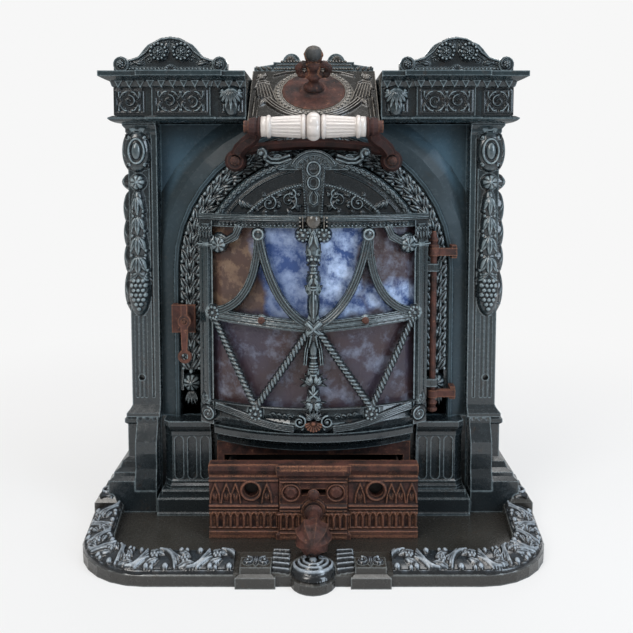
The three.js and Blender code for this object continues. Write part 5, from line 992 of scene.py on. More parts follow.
# Spots on the glass are shares of its half width and of its height
ribbons = {
    "area": ((-0.157, 0.157), (0.186, 0.474)), "out": 0.0024,
    "bends": [  # start, pull, end, then half width, width, height and count of the folds
        ((0.53, 0.98), (0.53, 0.57), (1.0, 0.515), 0.0036, 0.0024, 0.0046, 3),
        ((0.53, 0.98), (0.405, 0.545), (0.0, 0.46), 0.0038, 0.0025, 0.005, 3),
        ((1.0, 0.505), (0.5, 0.485), (0.0, 0.46), 0.0058, 0.0022, 0.0044, 4),
    ],
    "straps": [
        ([(0.93, 0.9), (0.83, 0.93), (0.76, 0.955), (0.72, 1.0)], 0.0035, 0.0022, 0.0046),
        ([(0.06, 0.49), (-0.05, 0.425)], 0.0032, 0.0024, 0.0072),
    ],
    "leaves": (0.96, 0.96), "leaf": (0.022, 0.011, 0.0062, 3),
}
ropes = {
    "area": ((-0.157, 0.157), (0.186, 0.335)), "out": 0.0028, "starts": [(0.98, 0.48), (0.06, 0.43)],
    "end": (0.565, 0.0), "size": (0.0082, 0.0058, 0.0072),
}
rosettes = {
    "area": ((-0.170, 0.170), (0.174, 0.474)), "out": -0.0006,
    "beaded": [  # spot, then radius and height of the pad, and radius, petals and height of the beads
        ((1.0, 0.515), 0.0126, 0.0092, 0.0118, 10, 0.0042), ((0.565, -0.03), 0.0126, 0.0092, 0.0118, 9, 0.0042),
        ((0.1, 0.965), 0.0118, 0.0088, 0.0112, 9, 0.004),
    ],
    "corner": (0.93, 0.9), "ring": (0.53, 0.965),
}


def doorRibbons():
    r = ribbons
    relief = Relief(*r["area"], door["pitch"])
    for side in bothHands:
        for *spots, half, wide, high, count in r["bends"]:
            relief.folds(bend(*(onGlass(side, *spot) for spot in spots)), half, wide, high, count)
        for spots, *size in r["straps"]:
            relief.folds([onGlass(side, *spot) for spot in spots], *size)
        relief.fan(*onGlass(side, *r["leaves"]), leaning(downward, -side, 0.2, 0.5, 3), *r["leaf"])
    carve("doorRibbons", relief, onBow(r["out"]), "door")


def doorRopes():
    r = ropes
    relief = Relief(*r["area"], door["finePitch"])
    for side in bothHands:
        for start in r["starts"]:
            relief.rope([onGlass(side, *start), onGlass(side, *r["end"])], *r["size"])
    carve("doorRopes", relief, onBow(r["out"]), "door")


def doorRosettes():
    r = rosettes
    base, detail = twoLayers(*r["area"])
    for side in bothHands:
        for place, pad, padHigh, radius, petals, high in r["beaded"]:
            spot = onGlass(side, *place)
            base.dome(*spot, pad, padHigh)
            detail.berries(*spot, radius * 0.2, high, petals, radius * 0.74)
            detail.dome(*spot, radius * 0.26, high * 0.9)
        corner, ring = onGlass(side, *r["corner"]), onGlass(side, *r["ring"])
        base.dome(*corner, 0.0138, 0.0104)
        detail.rosette(*corner, 0.0124, 7, 0.0036)
        base.dome(*ring, 0.0108, 0.0088)
        detail.stroke(oval(*ring, 0.0078, count=24), 0.0021, 0.0034)
    carve("doorRosettes", raiseOver(base, detail), onBow(r["out"]), "door")


# Stem in the middle of the glass: pods one over another on a post, tied with bands, a knot and its tails
stem = {
    "area": ((-0.024, 0.024), (0.188, 0.474)), "out": -0.0005, "post": (0.0062, 0.0088, (0.197, 0.468)),
    "podHigh": 0.0104, "rib": (0.0012, 0.003, (0.337, 0.378)),
    "pods": [  # height over the floor, half width, half height
        (0.447, 0.0082, 0.020), (0.4235, 0.0112, 0.009), (0.4085, 0.0068, 0.009), (0.3925, 0.0108, 0.0135),
        (0.356, 0.0092, 0.026), (0.3217, 0.0145, 0.0125), (0.291, 0.0072, 0.022), (0.2625, 0.0082, 0.0135),
        (0.243, 0.0135, 0.009), (0.2225, 0.0092, 0.0125), (0.2045, 0.012, 0.0105),
    ],
    "bands": [
        (0.4145, 0.0085), (0.4035, 0.0075), (0.3825, 0.0118), (0.3785, 0.0105), (0.2775, 0.0075), (0.2515, 0.0085),
    ],
    "band": (0.0015, 0.0034),
    "strokes": [
        ([(0.0155, 0.3345), (0.004, 0.3245), (-0.006, 0.3145), (-0.014, 0.309)], 0.0026, 0.0062),
        ([(0.0065, 0.2285), (-0.0065, 0.2165)], 0.0018, 0.0046),
    ],
    "tail": [(0.005, 0.310), (0.0105, 0.288), (0.0125, 0.266)],
}


def doorStem():
    s = stem
    base, detail = twoLayers(*s["area"])
    base.post(0.0, *s["post"])
    for z, wide, tall in s["pods"]:
        base.dome(0.0, z, wide, s["podHigh"], tall)
    for z, wide in s["bands"]:
        detail.stroke([(-wide, z), (wide, z)], *s["band"])
    for side in bothHands:
        detail.leaf(0.0, 0.466, downward + side * 0.32, 0.036, 0.0085, 0.0042)
        detail.leaf(side * 0.002, 0.396, downward + side * 0.35, 0.017, 0.0055, 0.0036)
        for k in range(2):
            detail.dome(side * (0.003 + 0.0052 * k), 0.4235 - 0.002 * k, 0.0026, 0.0044)
        for points, wide, high in s["strokes"]:
            detail.stroke(handed(side, points), wide, high)
        detail.folds(handed(side, s["tail"]), 0.0016, 0.0015, 0.0068, 2)
        for k in range(4):
            detail.leaf(side * 0.003, 0.239, upward - side * (1.95 - 0.62 * k), 0.019 - 0.0012 * k, 0.0062, 0.0056)
        detail.fan(side * 0.002, 0.2085, leaning(downward, side, 0.35, 0.6, 3), 0.018, 0.0052, 0.0052)
    for k in range(4):
        detail.stroke([(-0.006, 0.2695 - 0.0042 * k), (0.006, 0.2695 - 0.0042 * k)], 0.0012, 0.0026)
    detail.leaf(0.0, 0.237, downward, 0.014, 0.007, 0.0046)
    detail.post(0.0, *s["rib"])
    carve("doorStem", raiseOver(base, detail), onBow(s["out"]), "door")


# Head of the door: a row of beads, capitals at both ends and a boss under the lunette
head = {
    "beads": ((-0.146, 0.146), (0.466, 0.476)), "row": ((-0.144, 0.4718), (0.144, 0.4718), 0.0024, 0.0034, 2.5),
    "capital": ((-0.177, -0.153), (0.446, 0.4695)), "capitalOut": 0.0082, "capitalStart": -0.1725, "capitalStep": 0.005,
    "neck": ((-0.178, -0.152), (0.436, 0.446)), "neckRing": (0.4405, 0.0028, 0.0075),
    "boss": ((-0.031, 0.031), (0.468, 0.4868)), "out": 0.0042, "bossDome": (0.480, 0.0118, 0.0125, 0.0135),
    "edge": ((-0.176, 0.176), (0.4755, 0.4868)), "rims": [(0.4848, 0.0019, 0.0028), (0.4795, 0.0016, 0.0022)],
}


def doorHead():
    d, fine = head, door["finePitch"]
    beads = Relief(*d["beads"], fine)
    beads.beads(*d["row"])
    carve("doorBeads", beads, onBow(0.0), "door")
    capital = Relief(*d["capital"], fine)
    for k in range(4):
        u = d["capitalStart"] + d["capitalStep"] * k
        capital.dome(u, 0.4655, 0.0023, 0.0034)
        capital.leaf(u, 0.463, downward, 0.015, 0.0048, 0.0034)
    bothSides("doorCapital", capital, onBow(d["capitalOut"]), body="door")
    neck = Relief(*d["neck"])
    neck.ridge(*d["neckRing"])
    bothSides("doorNeck", neck, onBow(0.0), body="door")
    boss = Relief(*d["boss"], fine)
    boss.dome(0.0, *d["bossDome"])
    for side in bothHands:
        boss.beads((side * 0.0195, 0.469), (side * 0.0195, 0.4868), 0.0022, 0.0052)
        boss.post(side * 0.0155, 0.0013, 0.0042)
    carve("doorBoss", boss, onBow(d["out"]), "door", "enamelOlive")
    edge = Relief(*d["edge"], door["pitch"])
    for rim in d["rims"]:
        edge.ridge(*rim)
    carve("doorEdge", edge, onBow(d["out"]), "door")


# Foot of the door: ridged swags that dip to a palmette between two volutes, and a rusty shell under it
foot = {
    "area": ((-0.176, 0.176), (0.1612, 0.2015)), "out": 0.0026, "rim": (0.1985, 0.0017, 0.0028),
    "swag": [(0.150, 0.1925), (0.128, 0.189), (0.105, 0.1835), (0.082, 0.1765), (0.058, 0.1715), (0.030, 0.1690)],
    "swagFolds": (0.0042, 0.0019, 0.0052, 4), "shell": ((-0.015, 0.015), (0.1618, 0.182)), "shellOut": 0.0048,
    "volute": ((-0.1765, -0.1495), (0.1655, 0.196)), "voluteSpot": (-0.163, 0.1787), "voluteOut": 0.0068,
    "spur": ((-0.1765, -0.153), (0.188, 0.214)), "spurSpot": (-0.174, 0.1905), "spurOut": 0.0055,
}


def doorFoot():
    f = foot
    relief = Relief(*f["area"])
    for side in bothHands:
        relief.folds(handed(side, f["swag"]), *f["swagFolds"])
        for k in range(4):
            curl = (side * (0.035 + 0.0088 * k), 0.1855 + 0.001 * k)
            relief.scroll(*curl, 0.0042, 0.4, 0.75, 0.0013, 0.0048, bead=False)
        relief.scroll(side * 0.0205, 0.1805, 0.0098, upward, 1.6, 0.0024, 0.0078, side)
        relief.leaf(side * 0.012, 0.176, downward + side * 0.7, 0.014, 0.008, 0.0062, 2)
    relief.fan(0.0, 0.1835, halfRound(7), 0.0165, 0.0062, 0.0072)
    relief.ridge(*f["rim"])
    carve("doorFoot", relief, onBow(f["out"]), "door")
    shell = Relief(*f["shell"], door["finePitch"])
    shell.shell(0.0, 0.1795, 0.0145, 9, 0.0062, math.pi)
    shell.dome(0.0, 0.1785, 0.0045, 0.0082)
    carve("doorShellRust", shell, onBow(f["shellOut"]), "door", **rusty)
    volute = Relief(*f["volute"])
    volute.dome(*f["voluteSpot"], 0.0128, 0.0035)
    volute.scroll(*f["voluteSpot"], 0.0108, upward, 1.7, 0.0022, 0.0056, -1)
    bothSides("doorVolute", volute, onBow(f["voluteOut"]), body="door")
    spur = Relief(*f["spur"])
    for k in range(3):
        spur.leaf(*f["spurSpot"], 1.35 - 0.35 * k, 0.024 - 0.004 * k, 0.006, 0.0048)
    bothSides("doorSpur", spur, onBow(f["spurOut"]), body="door")


# Lunette: crest, key with linked rings, fillets of beads, scrolls of foliage and a ribbon on the outer moulding
lunette = {
    "face": -0.0145, "area": ((-0.166, 0.0), (0.488, 0.574)), "centre": 0.396, "field": 0.162, "fieldEnd": -0.0145,
    "ground": 0.0004, "beadRadius": 0.135, "beadFoot": 0.094, "beads": 22, "bead": (0.0027, 0.0062),
    "fillets": [  # radius, where it starts and ends, width, height
        (0.1575, math.pi - 0.62, upward + 0.2, 0.0017, 0.0034), (0.1275, math.pi - 0.82, upward + 0.15, 0.0016, 0.0032),
    ],
    "scrolls": [(-0.038, 0.5065, 0.0135, 1), (-0.068, 0.502, 0.0115, -1), (-0.0335, 0.516, 0.007, -1)],
    "ribbon": ((-0.178, 0.0), (0.488, 0.5745)), "ribbonRadius": 0.171, "ribbonFace": -0.0175,
}
key = {
    "area": ((-0.0195, 0.0195), (0.488, 0.569)), "face": -0.0178, "pitch": 0.0007,
    "links": [(0.5545, 0.0108), (0.5335, 0.0098)], "linkShare": 0.92,
    "drop": [
        (0.0, 0.5225), (0.0062, 0.5125), (0.0055, 0.5035), (0.0, 0.4995), (-0.0055, 0.5035), (-0.0062, 0.5125),
        (0.0, 0.5225),
    ],
    "crest": ((-0.062, 0.062), (0.553, 0.584)), "crestFace": -0.0175, "crestArcs": [(0.0365, 0.0022), (0.0305, 0.0014)],
    "ear": ((-0.092, -0.034), (0.558, 0.592)), "earFace": -0.0176,
    "strap": [(-0.036, 0.572), (-0.052, 0.5665), (-0.064, 0.5665), (-0.073, 0.5725)],
}


def makeLunette():
    n = lunette
    relief = Relief(*n["area"])
    first = math.pi - math.asin(n["beadFoot"] / n["beadRadius"])
    for point in oval(0.0, n["centre"], n["beadRadius"], None, n["beads"], first, upward + 0.15):
        relief.dome(*point, *n["bead"])
    for radius, start, end, *size in n["fillets"]:
        relief.stroke(oval(0.0, n["centre"], radius, None, 40, start, end), *size)
    for u, v, reach, hand in n["scrolls"]:
        relief.scroll(u, v, reach, -hand * 1.2, 1.35, 0.0022, 0.0062, hand)
        for k in range(6):
            turn = k * 1.05 + 0.3
            relief.leaf(*polar(u, v, reach, turn), turn + hand * 0.8, reach * 0.85, reach * 0.5, 0.0056, 3)
    for k in range(4):
        relief.leaf(-0.085 - 0.008 * k, 0.4905 + 0.001 * k, 2.5 - 0.2 * k, 0.018, 0.008, 0.0052, 2)
    relief.leaf(-0.022, 0.489, upward + 0.5, 0.024, 0.010, 0.0058, 3)
    relief.fill((relief.away(0.0, n["centre"]) < n["field"]) & (relief.u < n["fieldEnd"]), n["ground"])
    bothSides("lunetteField", relief, onFront(n["face"]), body="door")
    ribbon = Relief(*n["ribbon"])
    for i, turn in enumerate(np.linspace(math.pi - 0.59, upward + 0.3, 26)):
        spot = polar(0.0, n["centre"], n["ribbonRadius"], turn)
        ribbon.dome(*spot, 0.0056, 0.0032, 0.0022, turn + (0.75 if i % 2 else 2.0))
    bothSides("lunetteRibbon", ribbon, onFront(n["ribbonFace"]), body="door")


def makeKey():
    k = key
    relief = Relief(*k["area"], k["pitch"])
    for z, radius in k["links"]:
        relief.stroke(oval(0.0, z, radius * k["linkShare"], radius), 0.0028, 0.0068)
    relief.stroke(k["drop"], 0.0021, 0.0052)
    for side in bothHands:
        relief.beads((side * 0.0125, 0.4885), (side * 0.0172, 0.566), 0.0018, 0.004)
        relief.stroke([(side * 0.0098, 0.4885), (side * 0.0118, 0.52)], 0.0011, 0.0026)
    carve("lunetteKey", relief, onFront(k["face"]), "door")
    crest = Relief(*k["crest"], k["pitch"])
    for reach, wide in k["crestArcs"]:
        crest.stroke(oval(0.0, 0.5445, reach, None, 26, math.pi - 0.5, 0.5), wide, 0.0046)
    crest.fan(0.0, 0.5475, halfRound(9, 1.0), 0.029, 0.0055, 0.0042)
    for side in bothHands:
        crest.leaf(side * 0.05, 0.562, upward + side * 1.2, 0.02, 0.008, 0.0048, 2)
    carve("lunetteCrest", crest, onFront(k["crestFace"]), "door")
    ear = Relief(*k["ear"], k["pitch"])
    ear.folds(k["strap"], 0.0031, 0.003, 0.0056, 2)
    ear.scroll(-0.080, 0.5785, 0.0082, -0.7, 1.0, 0.0044, 0.0072)
    ear.leaf(-0.066, 0.566, -2.4, 0.013, 0.007, 0.0046, 2)
    bothSides("lunetteEar", ear, onFront(k["earFace"]), body="door")


doorRibbons()
doorRopes()
doorRosettes()
doorStem()
doorHead()
doorFoot()
makeLunette()
makeKey()
print("door carved")


# Turned pieces: stations give the way along the axis, the radius and, where there are flutes, how deep they are cut
def turnPiece(name, start, axis, stations, flutes, body, finish, slot, around=96, smooth=True):
    start, axis = Vector(start), Vector(axis).normalized()
    side = axis.cross(Vector((0.0, 0.0, 1.0) if abs(axis.z) < 0.9 else (1.0, 0.0, 0.0))).normalized()
    rise = axis.cross(side)
    points, faces = [], []
    for along, radius, *cut in stations:
        depth = cut[0] if cut else 0.0
        for k in range(around):
            turn = fullTurn * k / around
            reach = radius - depth * (1.0 - abs(math.sin(0.5 * flutes * turn)))
            points.append(start + axis * along + (side * math.cos(turn) + rise * math.sin(turn)) * reach)
    for low in range(0, (len(stations) - 1) * around, around):
        for k in range(around):
            ahead = (k + 1) % around
            faces.append((low + k, low + ahead, low + around + ahead, low + around + k))
    faces.append(tuple(reversed(range(around))))
    faces.append(tuple(range((len(stations) - 1) * around, len(stations) * around)))
    return addPiece(name, [tuple(p) for p in points], faces, body, finish, slot, smooth=smooth)


# Porcelain grips with fine flutes between their flanges, and a lobed bead in the middle, as shares of their sizes
grip = {
    "place": (0.0, -0.050, 0.617), "radius": 0.01836, "inner": 0.01105, "long": 0.06595, "flutes": 18,
    "shares": [
        (0.0, 0.8), (0.004, 0.86), (0.03, 0.99), (0.045, 1.0), (0.075, 1.0), (0.088, 0.985), (0.1, 0.9), (0.11, 0.9),
        (0.13, 0.935, 0.095), (0.45, 0.865, 0.095), (0.745, 0.79, 0.095), (0.76, 0.77), (0.775, 0.77), (0.79, 0.88),
        (0.805, 0.935), (0.855, 0.935), (0.87, 0.9), (0.885, 0.81), (0.9, 0.82), (1.0, 0.84),
    ],
    "bead": 0.0215, "lobes": 7,
    "beadShares": [
        (0.0, 0.66), (0.02, 0.7), (0.1, 0.83, 0.03), (0.2, 0.92, 0.07), (0.35, 0.985, 0.09), (0.5, 1.0, 0.09),
        (0.65, 0.985, 0.09), (0.8, 0.92, 0.07), (0.9, 0.83, 0.03), (0.98, 0.7), (1.0, 0.66),
    ],
}
glazed = {"body": "stove", "finish": "porcelain", "slot": "porcelain"}


def sized(rows, long, radius):
    return [(along * long, *(share * radius for share in shares)) for along, *shares in rows]


def makeGrips():
    g = grip
    x, y, z = g["place"]
    for side, name in ((-1, "Left"), (1, "Right")):
        stations = sized(g["shares"], g["long"], g["radius"])
        piece = turnPiece("grip" + name, (x + side * g["inner"], y, z), (side, 0, 0), stations, g["flutes"], **glazed)
        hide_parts("grip_" + name.lower())
    stations = sized(g["beadShares"], g["bead"], g["bead"])
    bead = turnPiece("gripBead", (x - g["bead"] / 2, y, z), (1, 0, 0), stations, g["lobes"], **glazed)
    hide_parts("grip_bead")


# Knob of the lid: a rusty trefoil of rings on a turned neck, its top ring filled by a grey dome
knob = {
    "foot": (0.0, 0.0381, 0.6818), "out": (0.0, -0.643, 0.766), "hub": 0.043, "reach": 0.0165, "radius": 0.0092,
    "wire": 0.0056, "ring": (32, 14), "lumps": [(5, 0.0, 0.12), (11, 1.0, 0.07)], "capOut": 0.0035,
    "neck": [
        (0.0, 0.0135), (0.0035, 0.0165), (0.007, 0.012), (0.012, 0.0075), (0.018, 0.0082), (0.0225, 0.0125),
        (0.026, 0.0125), (0.030, 0.0078), (0.036, 0.0095), (0.047, 0.0115), (0.053, 0.004),
    ],
    "cap": [
        (-0.0085, 0.006), (-0.0065, 0.0115, 0.0007), (-0.002, 0.0138, 0.0008), (0.003, 0.0136, 0.0008),
        (0.0075, 0.0112, 0.0006), (0.0105, 0.0068, 0.0003), (0.0118, 0.002),
    ],
}


def lumpyRing(name, centre, first, second):
    outwards = first.cross(second)
    around, across = knob["ring"]
    points, faces = [], []
    for i in range(around):
        turn = fullTurn * i / around
        way = first * math.cos(turn) + second * math.sin(turn)
        size = knob["wire"] * (1.0 + sum(high * math.sin(count * turn + start) for count, start, high in knob["lumps"]))
        for j in range(across):
            tilt = fullTurn * j / across
            reach = knob["radius"] + size * math.cos(tilt)
            points.append(tuple(centre + way * reach + outwards * (size * math.sin(tilt))))
            a, b = i * across + j, i * across + (j + 1) % across
            ahead = ((i + 1) % around - i) * across
            faces.append((a, a + ahead, b + ahead, b))
    addPiece(name, points, faces, "lid", **rusty)


def makeKnob():
    k = knob
    out, side = Vector(k["out"]).normalized(), Vector((1.0, 0.0, 0.0))
    foot = Vector(k["foot"])
    neck = turnPiece("knobNeck", foot, out, k["neck"], 8, "lid", **rusty, around=48)
    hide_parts("lid_knob")
    hub = foot + out * k["hub"]
    for i, label in enumerate(("Top", "Right", "Left")):
        turn = i * fullTurn / 3.0
        lumpyRing("knobRing" + label, hub + (side * math.sin(turn) + out * math.cos(turn)) * k["reach"], side, out)
    turnPiece("knobCap", hub + out * (k["reach"] + k["capOut"]), out, k["cap"], 11, "lid", "greyIron", "iron", 66)


# Gallery: two rows of beads between its rails, a fluted hump over each, and leaves on the shoulders
gallery = {
    "area": ((-0.0985, 0.0985), (0.7165, 0.7445)), "face": 0.0966, "pitch": 0.0007,
    "rows": [(0.066, 0.7195), (0.055, 0.7315)], "bead": (0.0021, 0.0036, 2.3),
    "rail": (0.7255, 0.0011, 0.0022, (-0.062, 0.062)), "hump": (0.0385, 0.7335), "shoulder": (0.070, 0.7172),
}


def makeGallery():
    g = gallery
    relief = Relief(*g["area"], g["pitch"])
    for half, z in g["rows"]:
        relief.beads((-half, z), (half, z), *g["bead"])
    relief.ridge(*g["rail"])
    for side in bothHands:
        relief.fan(side * g["hump"][0], g["hump"][1], halfRound(7), 0.0095, 0.0036, 0.003)
        for k in range(3):
            out = side * (g["shoulder"][0] + 0.009 * k)
            relief.leaf(out, g["shoulder"][1], upward - side * 0.9, 0.011, 0.005, 0.003)
    carve("galleryBeads", relief, onFront(g["face"]), finish="enamelOlive")


# Pediments: two rosettes between ogee mouldings that end in berried rolls, over a row of beads
pediment = {
    "middle": -0.221, "base": 0.7033, "face": 0.0098, "half": 0.092, "tall": 0.0548, "bead": (0.0024, 0.0036, 2.3),
    "ogee": [(0.0, 0.0522), (0.014, 0.0502), (0.027, 0.043), (0.037, 0.031), (0.049, 0.022), (0.066, 0.0165)],
    "rosetteFace": 0.0042, "rosette": (0.0176, 0.031), "rollFace": 0.0058, "roll": (0.076, 0.012),
    "rings": [(0.0029, 0.0046, 12, 0.0118), (0.0017, 0.0034, 8, 0.0058), (0.0015, 0.0052, 6, 0.0034)],
}


def makePediments():
    p = pediment
    x, z = p["middle"], p["base"]
    relief = Relief((x - p["half"], x + p["half"]), (z, z + p["tall"]))
    roses = Relief((x - 0.036, x + 0.036), (z + 0.013, z + 0.049), 0.0007)
    rolls = Relief((x - 0.0885, x + 0.0885), (z, z + 0.0242), 0.0007)
    for side in bothHands:
        ogee = handed(side, p["ogee"], x, z)
        relief.stroke(ogee, 0.0021, 0.0046)
        relief.stroke([(u - side * 0.004 * (k > 1), v - 0.0048) for k, (u, v) in enumerate(ogee)], 0.0013, 0.0026)
        relief.leaf(x + side * 0.040, z + 0.0125, 0.25 if side > 0 else math.pi - 0.25, 0.022, 0.011, 0.0036, 3)
        relief.fan(x + side * 0.0035, z + 0.031, leaning(upward, -side, 0.15, 0.35, 3), 0.019, 0.006, 0.0036)
        relief.scroll(x + side * 0.033, z + 0.0195, 0.0052, 0.5, 1.0, 0.0014, 0.0034, side)
        for ring in p["rings"]:
            roses.berries(x + side * p["rosette"][0], z + p["rosette"][1], *ring)
        roll = (x + side * p["roll"][0], z + p["roll"][1])
        rolls.scroll(*roll, 0.0098, upward, 1.1, 0.0018, 0.0032, side, False)
        rolls.dome(*roll, 0.0062, 0.0046)
        rolls.berries(*roll, 0.0016, 0.0062, 6, 0.0038)
    relief.beads((x - 0.066, z + 0.0052), (x + 0.066, z + 0.0052), *p["bead"])
    relief.shell(x, z + 0.0022, 0.0095, 7, 0.0058)
    bothSides("pedimentField", relief, onFront(p["face"]))
    bothSides("pedimentRoses", roses, onFront(p["rosetteFace"]))
    bothSides("pedimentRolls", rolls, onFront(p["rollFace"]))


# Leaf consoles under the cornice, one each side of the middle panel
console = {
    "middle": -0.1265, "half": 0.021, "band": (0.634, 0.682), "face": 0.0012,
    "pads": [(0.667, 0.019, 0.0105, 0.016), (0.650, 0.012, 0.0085, 0.016)], "leaves": 7,
}


def makeConsoles():
    c = console
    x = c["middle"]
    base, detail = twoLayers((x - c["half"], x + c["half"]), c["band"])
    for pad in c["pads"]:
        base.dome(x, *pad)
    for k in range(c["leaves"]):
        lean = k - c["leaves"] // 2
        detail.leaf(x, 0.678, downward + lean * 0.30, 0.036 - 0.003 * abs(lean), 0.0075, 0.0042, 2)
    for side in bothHands:
        detail.scroll(x + side * 0.0145, 0.674, 0.0052, upward, 1.2, 0.0016, 0.0044, -side)
    bothSides("console", raiseOver(base, detail), onFront(c["face"]))


# Hood: a draped fan either side of a ring of beads, under the pierced gallery, and the pitted lid in the ring
hood = {
    "lip": (-0.009, 0.629), "up": (0.766, 0.643), "out": (-0.643, 0.766), "lid": 0.070, "clear": 0.064,
    "area": ((-0.0995, 0.0995), (0.002, 0.134)), "pitch": 0.0009, "ground": 0.0004,
    "arches": [(0.0, 0.0019), (0.0055, 0.0015)],
    "strokes": [
        ([(0.0935, 0.006), (0.0925, 0.056)], 0.0022, 0.0044), ([(0.0875, 0.006), (0.0865, 0.052)], 0.0016, 0.0036),
        ([(0.066, 0.118), (0.045, 0.1275), (0.02, 0.1315), (0.0, 0.132)], 0.002, 0.0042),
    ],
    "swag": [(0.0735, 0.052), (0.05, 0.0135), (0.012, 0.0055)], "swagFolds": (0.0048, 0.0021, 0.0056),
    "beads": ((-0.0645, 0.0645), (0.0055, 0.1335)), "beadCount": 44, "beadRing": 0.0572, "beadLift": 0.0026,
    "lidArea": ((-0.05, 0.05), (0.020, 0.120)), "lidRings": [(0.0472, 0.0024), (0.0405, 0.0012), (0.0205, 0.0022)],
    "bumps": 70, "seed": 5,
}


def onSlope(lift):
    (lipY, lipZ), (upY, upZ), (outY, outZ) = hood["lip"], hood["up"], hood["out"]
    return lambda u, v, h: (u, lipY + v * upY + (lift + h) * outY, lipZ + v * upZ + (lift + h) * outZ)


def makeHood():
    d, middle = hood, hood["lid"]
    relief = Relief(*d["area"], d["pitch"])
    for side in bothHands:
        for lift, wide in d["arches"]:
            points = [(0.0945, 0.080), (0.091, 0.0915 + lift), (0.080, 0.0955 + lift), (0.0705, 0.0905 + lift)]
            relief.stroke(handed(side, points), wide, 0.0052)
        for k in range(6):
            high, low = (side * (0.0915 - 0.0038 * k), 0.0885 + 0.0012 * k), 0.0585 - 0.0018 * k
            relief.stroke([high, (high[0] - side * (0.0035 + 0.0018 * k), low)], 0.0019, 0.005)
        for points, wide, tall in d["strokes"]:
            relief.stroke(handed(side, points), wide, tall)
        relief.folds(bend(*handed(side, d["swag"]), 20), *d["swagFolds"])
        relief.leaf(side * 0.0735, 0.0545, downward + side * 0.5, 0.024, 0.011, 0.006, 2)
        relief.rosette(side * 0.0865, 0.1145, 0.009, 7, 0.0062)
        relief.fan(side * 0.078, 0.1145, leaning(upward, -side, 0.3, 0.62, 4), 0.0165, 0.0075, 0.005, 2)
    relief.fill(relief.away(0.0, middle) > d["clear"], d["ground"])
    carve("hoodField", relief, onSlope(0.0), finish="enamelOlive")
    ring = Relief(*d["beads"])
    for k in range(d["beadCount"]):
        ring.dome(*polar(0.0, middle, d["beadRing"], fullTurn * k / d["beadCount"]), 0.0034, 0.0042)
    carve("hoodBeads", ring, onSlope(d["beadLift"]), finish="enamelOlive")
    lid = Relief(*d["lidArea"], d["pitch"])
    for radius, high in d["lidRings"]:
        lid.stroke(oval(0.0, middle, radius, count=60), 0.0017, high)
    rng = np.random.default_rng(d["seed"])
    for k in range(d["bumps"]):
        spot = polar(0.0, middle, 0.022 + 0.02 * rng.random(), fullTurn * rng.random())
        lid.dome(*spot, 0.0018 + 0.002 * rng.random(), 0.0006 + 0.0009 * rng.random())
    carve("lidField", lid, onSlope(0.0), "lid", **rusty)


makeGrips()
makeKnob()
makeGallery()
makePediments()
makeConsoles()
makeHood()
print("top carved")


# Drawer: pointed arches under its cornice, lips round the air holes, and a row of narrow arches over its base
drawer = {
    "face": -0.0913, "middleFace": -0.0963, "wing": (-0.1535, -0.0515), "middle": (-0.0492, 0.0492),
    "band": (0.0123, 0.1234), "ground": 0.0022, "hole": (-0.092, 0.084), "holeRadius": 0.0116,
    "lines": [  # height over the floor, half width, rise
        (0.1218, 0.002, 0.0058), (0.1165, 0.0016, 0.0048), (0.0985, 0.0019, 0.0056), (0.0605, 0.0023, 0.0066),
        (0.0548, 0.0015, 0.005), (0.0275, 0.0016, 0.0054), (0.0215, 0.0026, 0.0066), (0.0155, 0.0017, 0.0056),
    ],
    "points": (-0.1445, -0.128, -0.1145, -0.0685), "knobSpot": (0.0, 0.054), "knobClear": 0.0185, "shelf": 0.064,
    "broken": (0.036, 0.07), "knobSide": 0.019,
    "bow": [  # shares of an arch's step, height over the floor
        (-0.42, 0.0295), (-0.42, 0.045), (-0.25, 0.0495), (0.0, 0.051), (0.25, 0.0495), (0.42, 0.045), (0.42, 0.0295),
    ],
}


def narrowArches(relief, start, end, pitch):
    count = int(round((end - start) / pitch))
    step = (end - start) / count
    for k in range(count):
        u = start + step * (k + 0.5)
        relief.stroke([(u + share * step, v) for share, v in drawer["bow"]], 0.0016, 0.0058)


def pointedArches(relief, spots):
    for u in spots:
        for side in bothHands:
            relief.stroke([(u + side * 0.0072, 0.0655), (u + side * 0.0058, 0.078), (u, 0.0935)], 0.0017, 0.006)
            relief.leaf(u + side * 0.0004, 0.066, upward - side * 0.2, 0.0165, 0.0046, 0.0048)
        relief.dome(u, 0.0855, 0.0019, 0.0038)


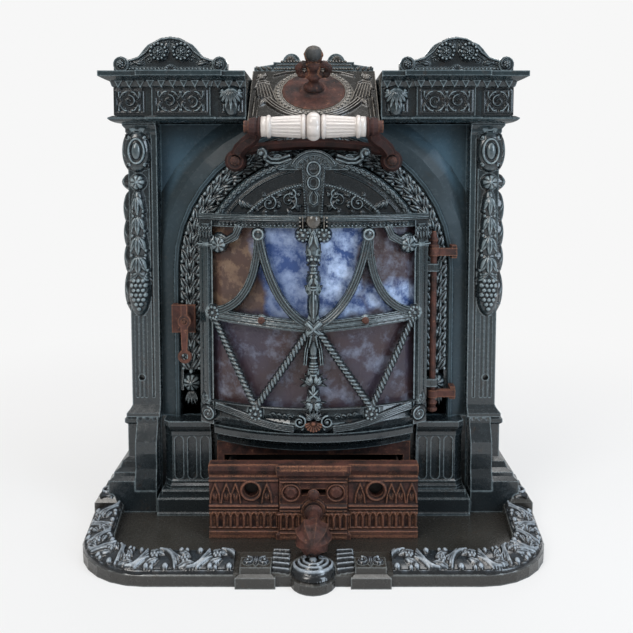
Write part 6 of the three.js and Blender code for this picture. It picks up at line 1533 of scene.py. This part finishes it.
def makeDrawer():
    d = drawer
    wing = Relief(d["wing"], d["band"])
    wing.fill(True, d["ground"])
    for line in d["lines"]:
        wing.ridge(*line)
    pointedArches(wing, d["points"])
    narrowArches(wing, -0.1515, -0.053, 0.0098)
    wing.stroke(oval(*d["hole"], 0.0138, count=28), 0.003, 0.0072)
    wing.height[wing.away(*d["hole"]) < d["holeRadius"]] = 0.0
    bothSides("drawerWing", wing, onFront(d["face"]), body="drawer", **rusty)
    middle = Relief(d["middle"], d["band"])
    middle.fill((middle.v[:, None] < d["shelf"]) & (middle.away(*d["knobSpot"]) > d["knobClear"]), d["ground"])
    low, high = d["broken"]
    for z, *size in d["lines"]:
        for ends in ((d["middle"][0], -d["knobSide"]), (d["knobSide"], d["middle"][1])):
            middle.ridge(z, *size, ends if low < z < high else None)
    for side in bothHands:
        narrowArches(middle, *sorted((side * 0.0205, side * 0.0485)), 0.0094)
        middle.stroke(oval(side * 0.033, 0.082, 0.0128, 0.0122, 28), 0.0019, 0.0044)
        middle.leaf(side * 0.044, 0.0945, upward + side * 2.2, 0.010, 0.005, 0.0034)
    middle.stroke(oval(*d["knobSpot"], 0.0172, count=28)[:15], 0.0019, 0.0048)
    carve("drawerMiddle", middle, onFront(d["middleFace"]), "drawer", **rusty)


# Bell knob of the drawer: a neck, veined facets that meet in points, and a rounded end
bell = {
    "place": (0.0, -0.0985, 0.054), "facets": 9, "around": 18,
    "stations": [
        (-0.033, 0.006), (0.0, 0.0075), (0.004, 0.0125), (0.008, 0.0135), (0.013, 0.0095), (0.024, 0.0082),
        (0.036, 0.0088), (0.042, 0.0122), (0.046, 0.0125), (0.050, 0.0108, 0.0005), (0.060, 0.0165, 0.0015),
        (0.0715, 0.0258, 0.0034), (0.0745, 0.0258, 0.004), (0.085, 0.0244, 0.0032), (0.0945, 0.019, 0.0024),
        (0.1008, 0.0112, 0.0014), (0.1040, 0.003, 0.0004),
    ],
}


def makeBell():
    b = bell
    form = (b["place"], (0, -1, 0), b["stations"], b["facets"])
    piece = turnPiece("drawerBell", *form, "drawer", **rusty, around=b["around"], smooth=False)
    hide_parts("drawer_knob")


makeDrawer()
makeBell()
print("drawer carved")
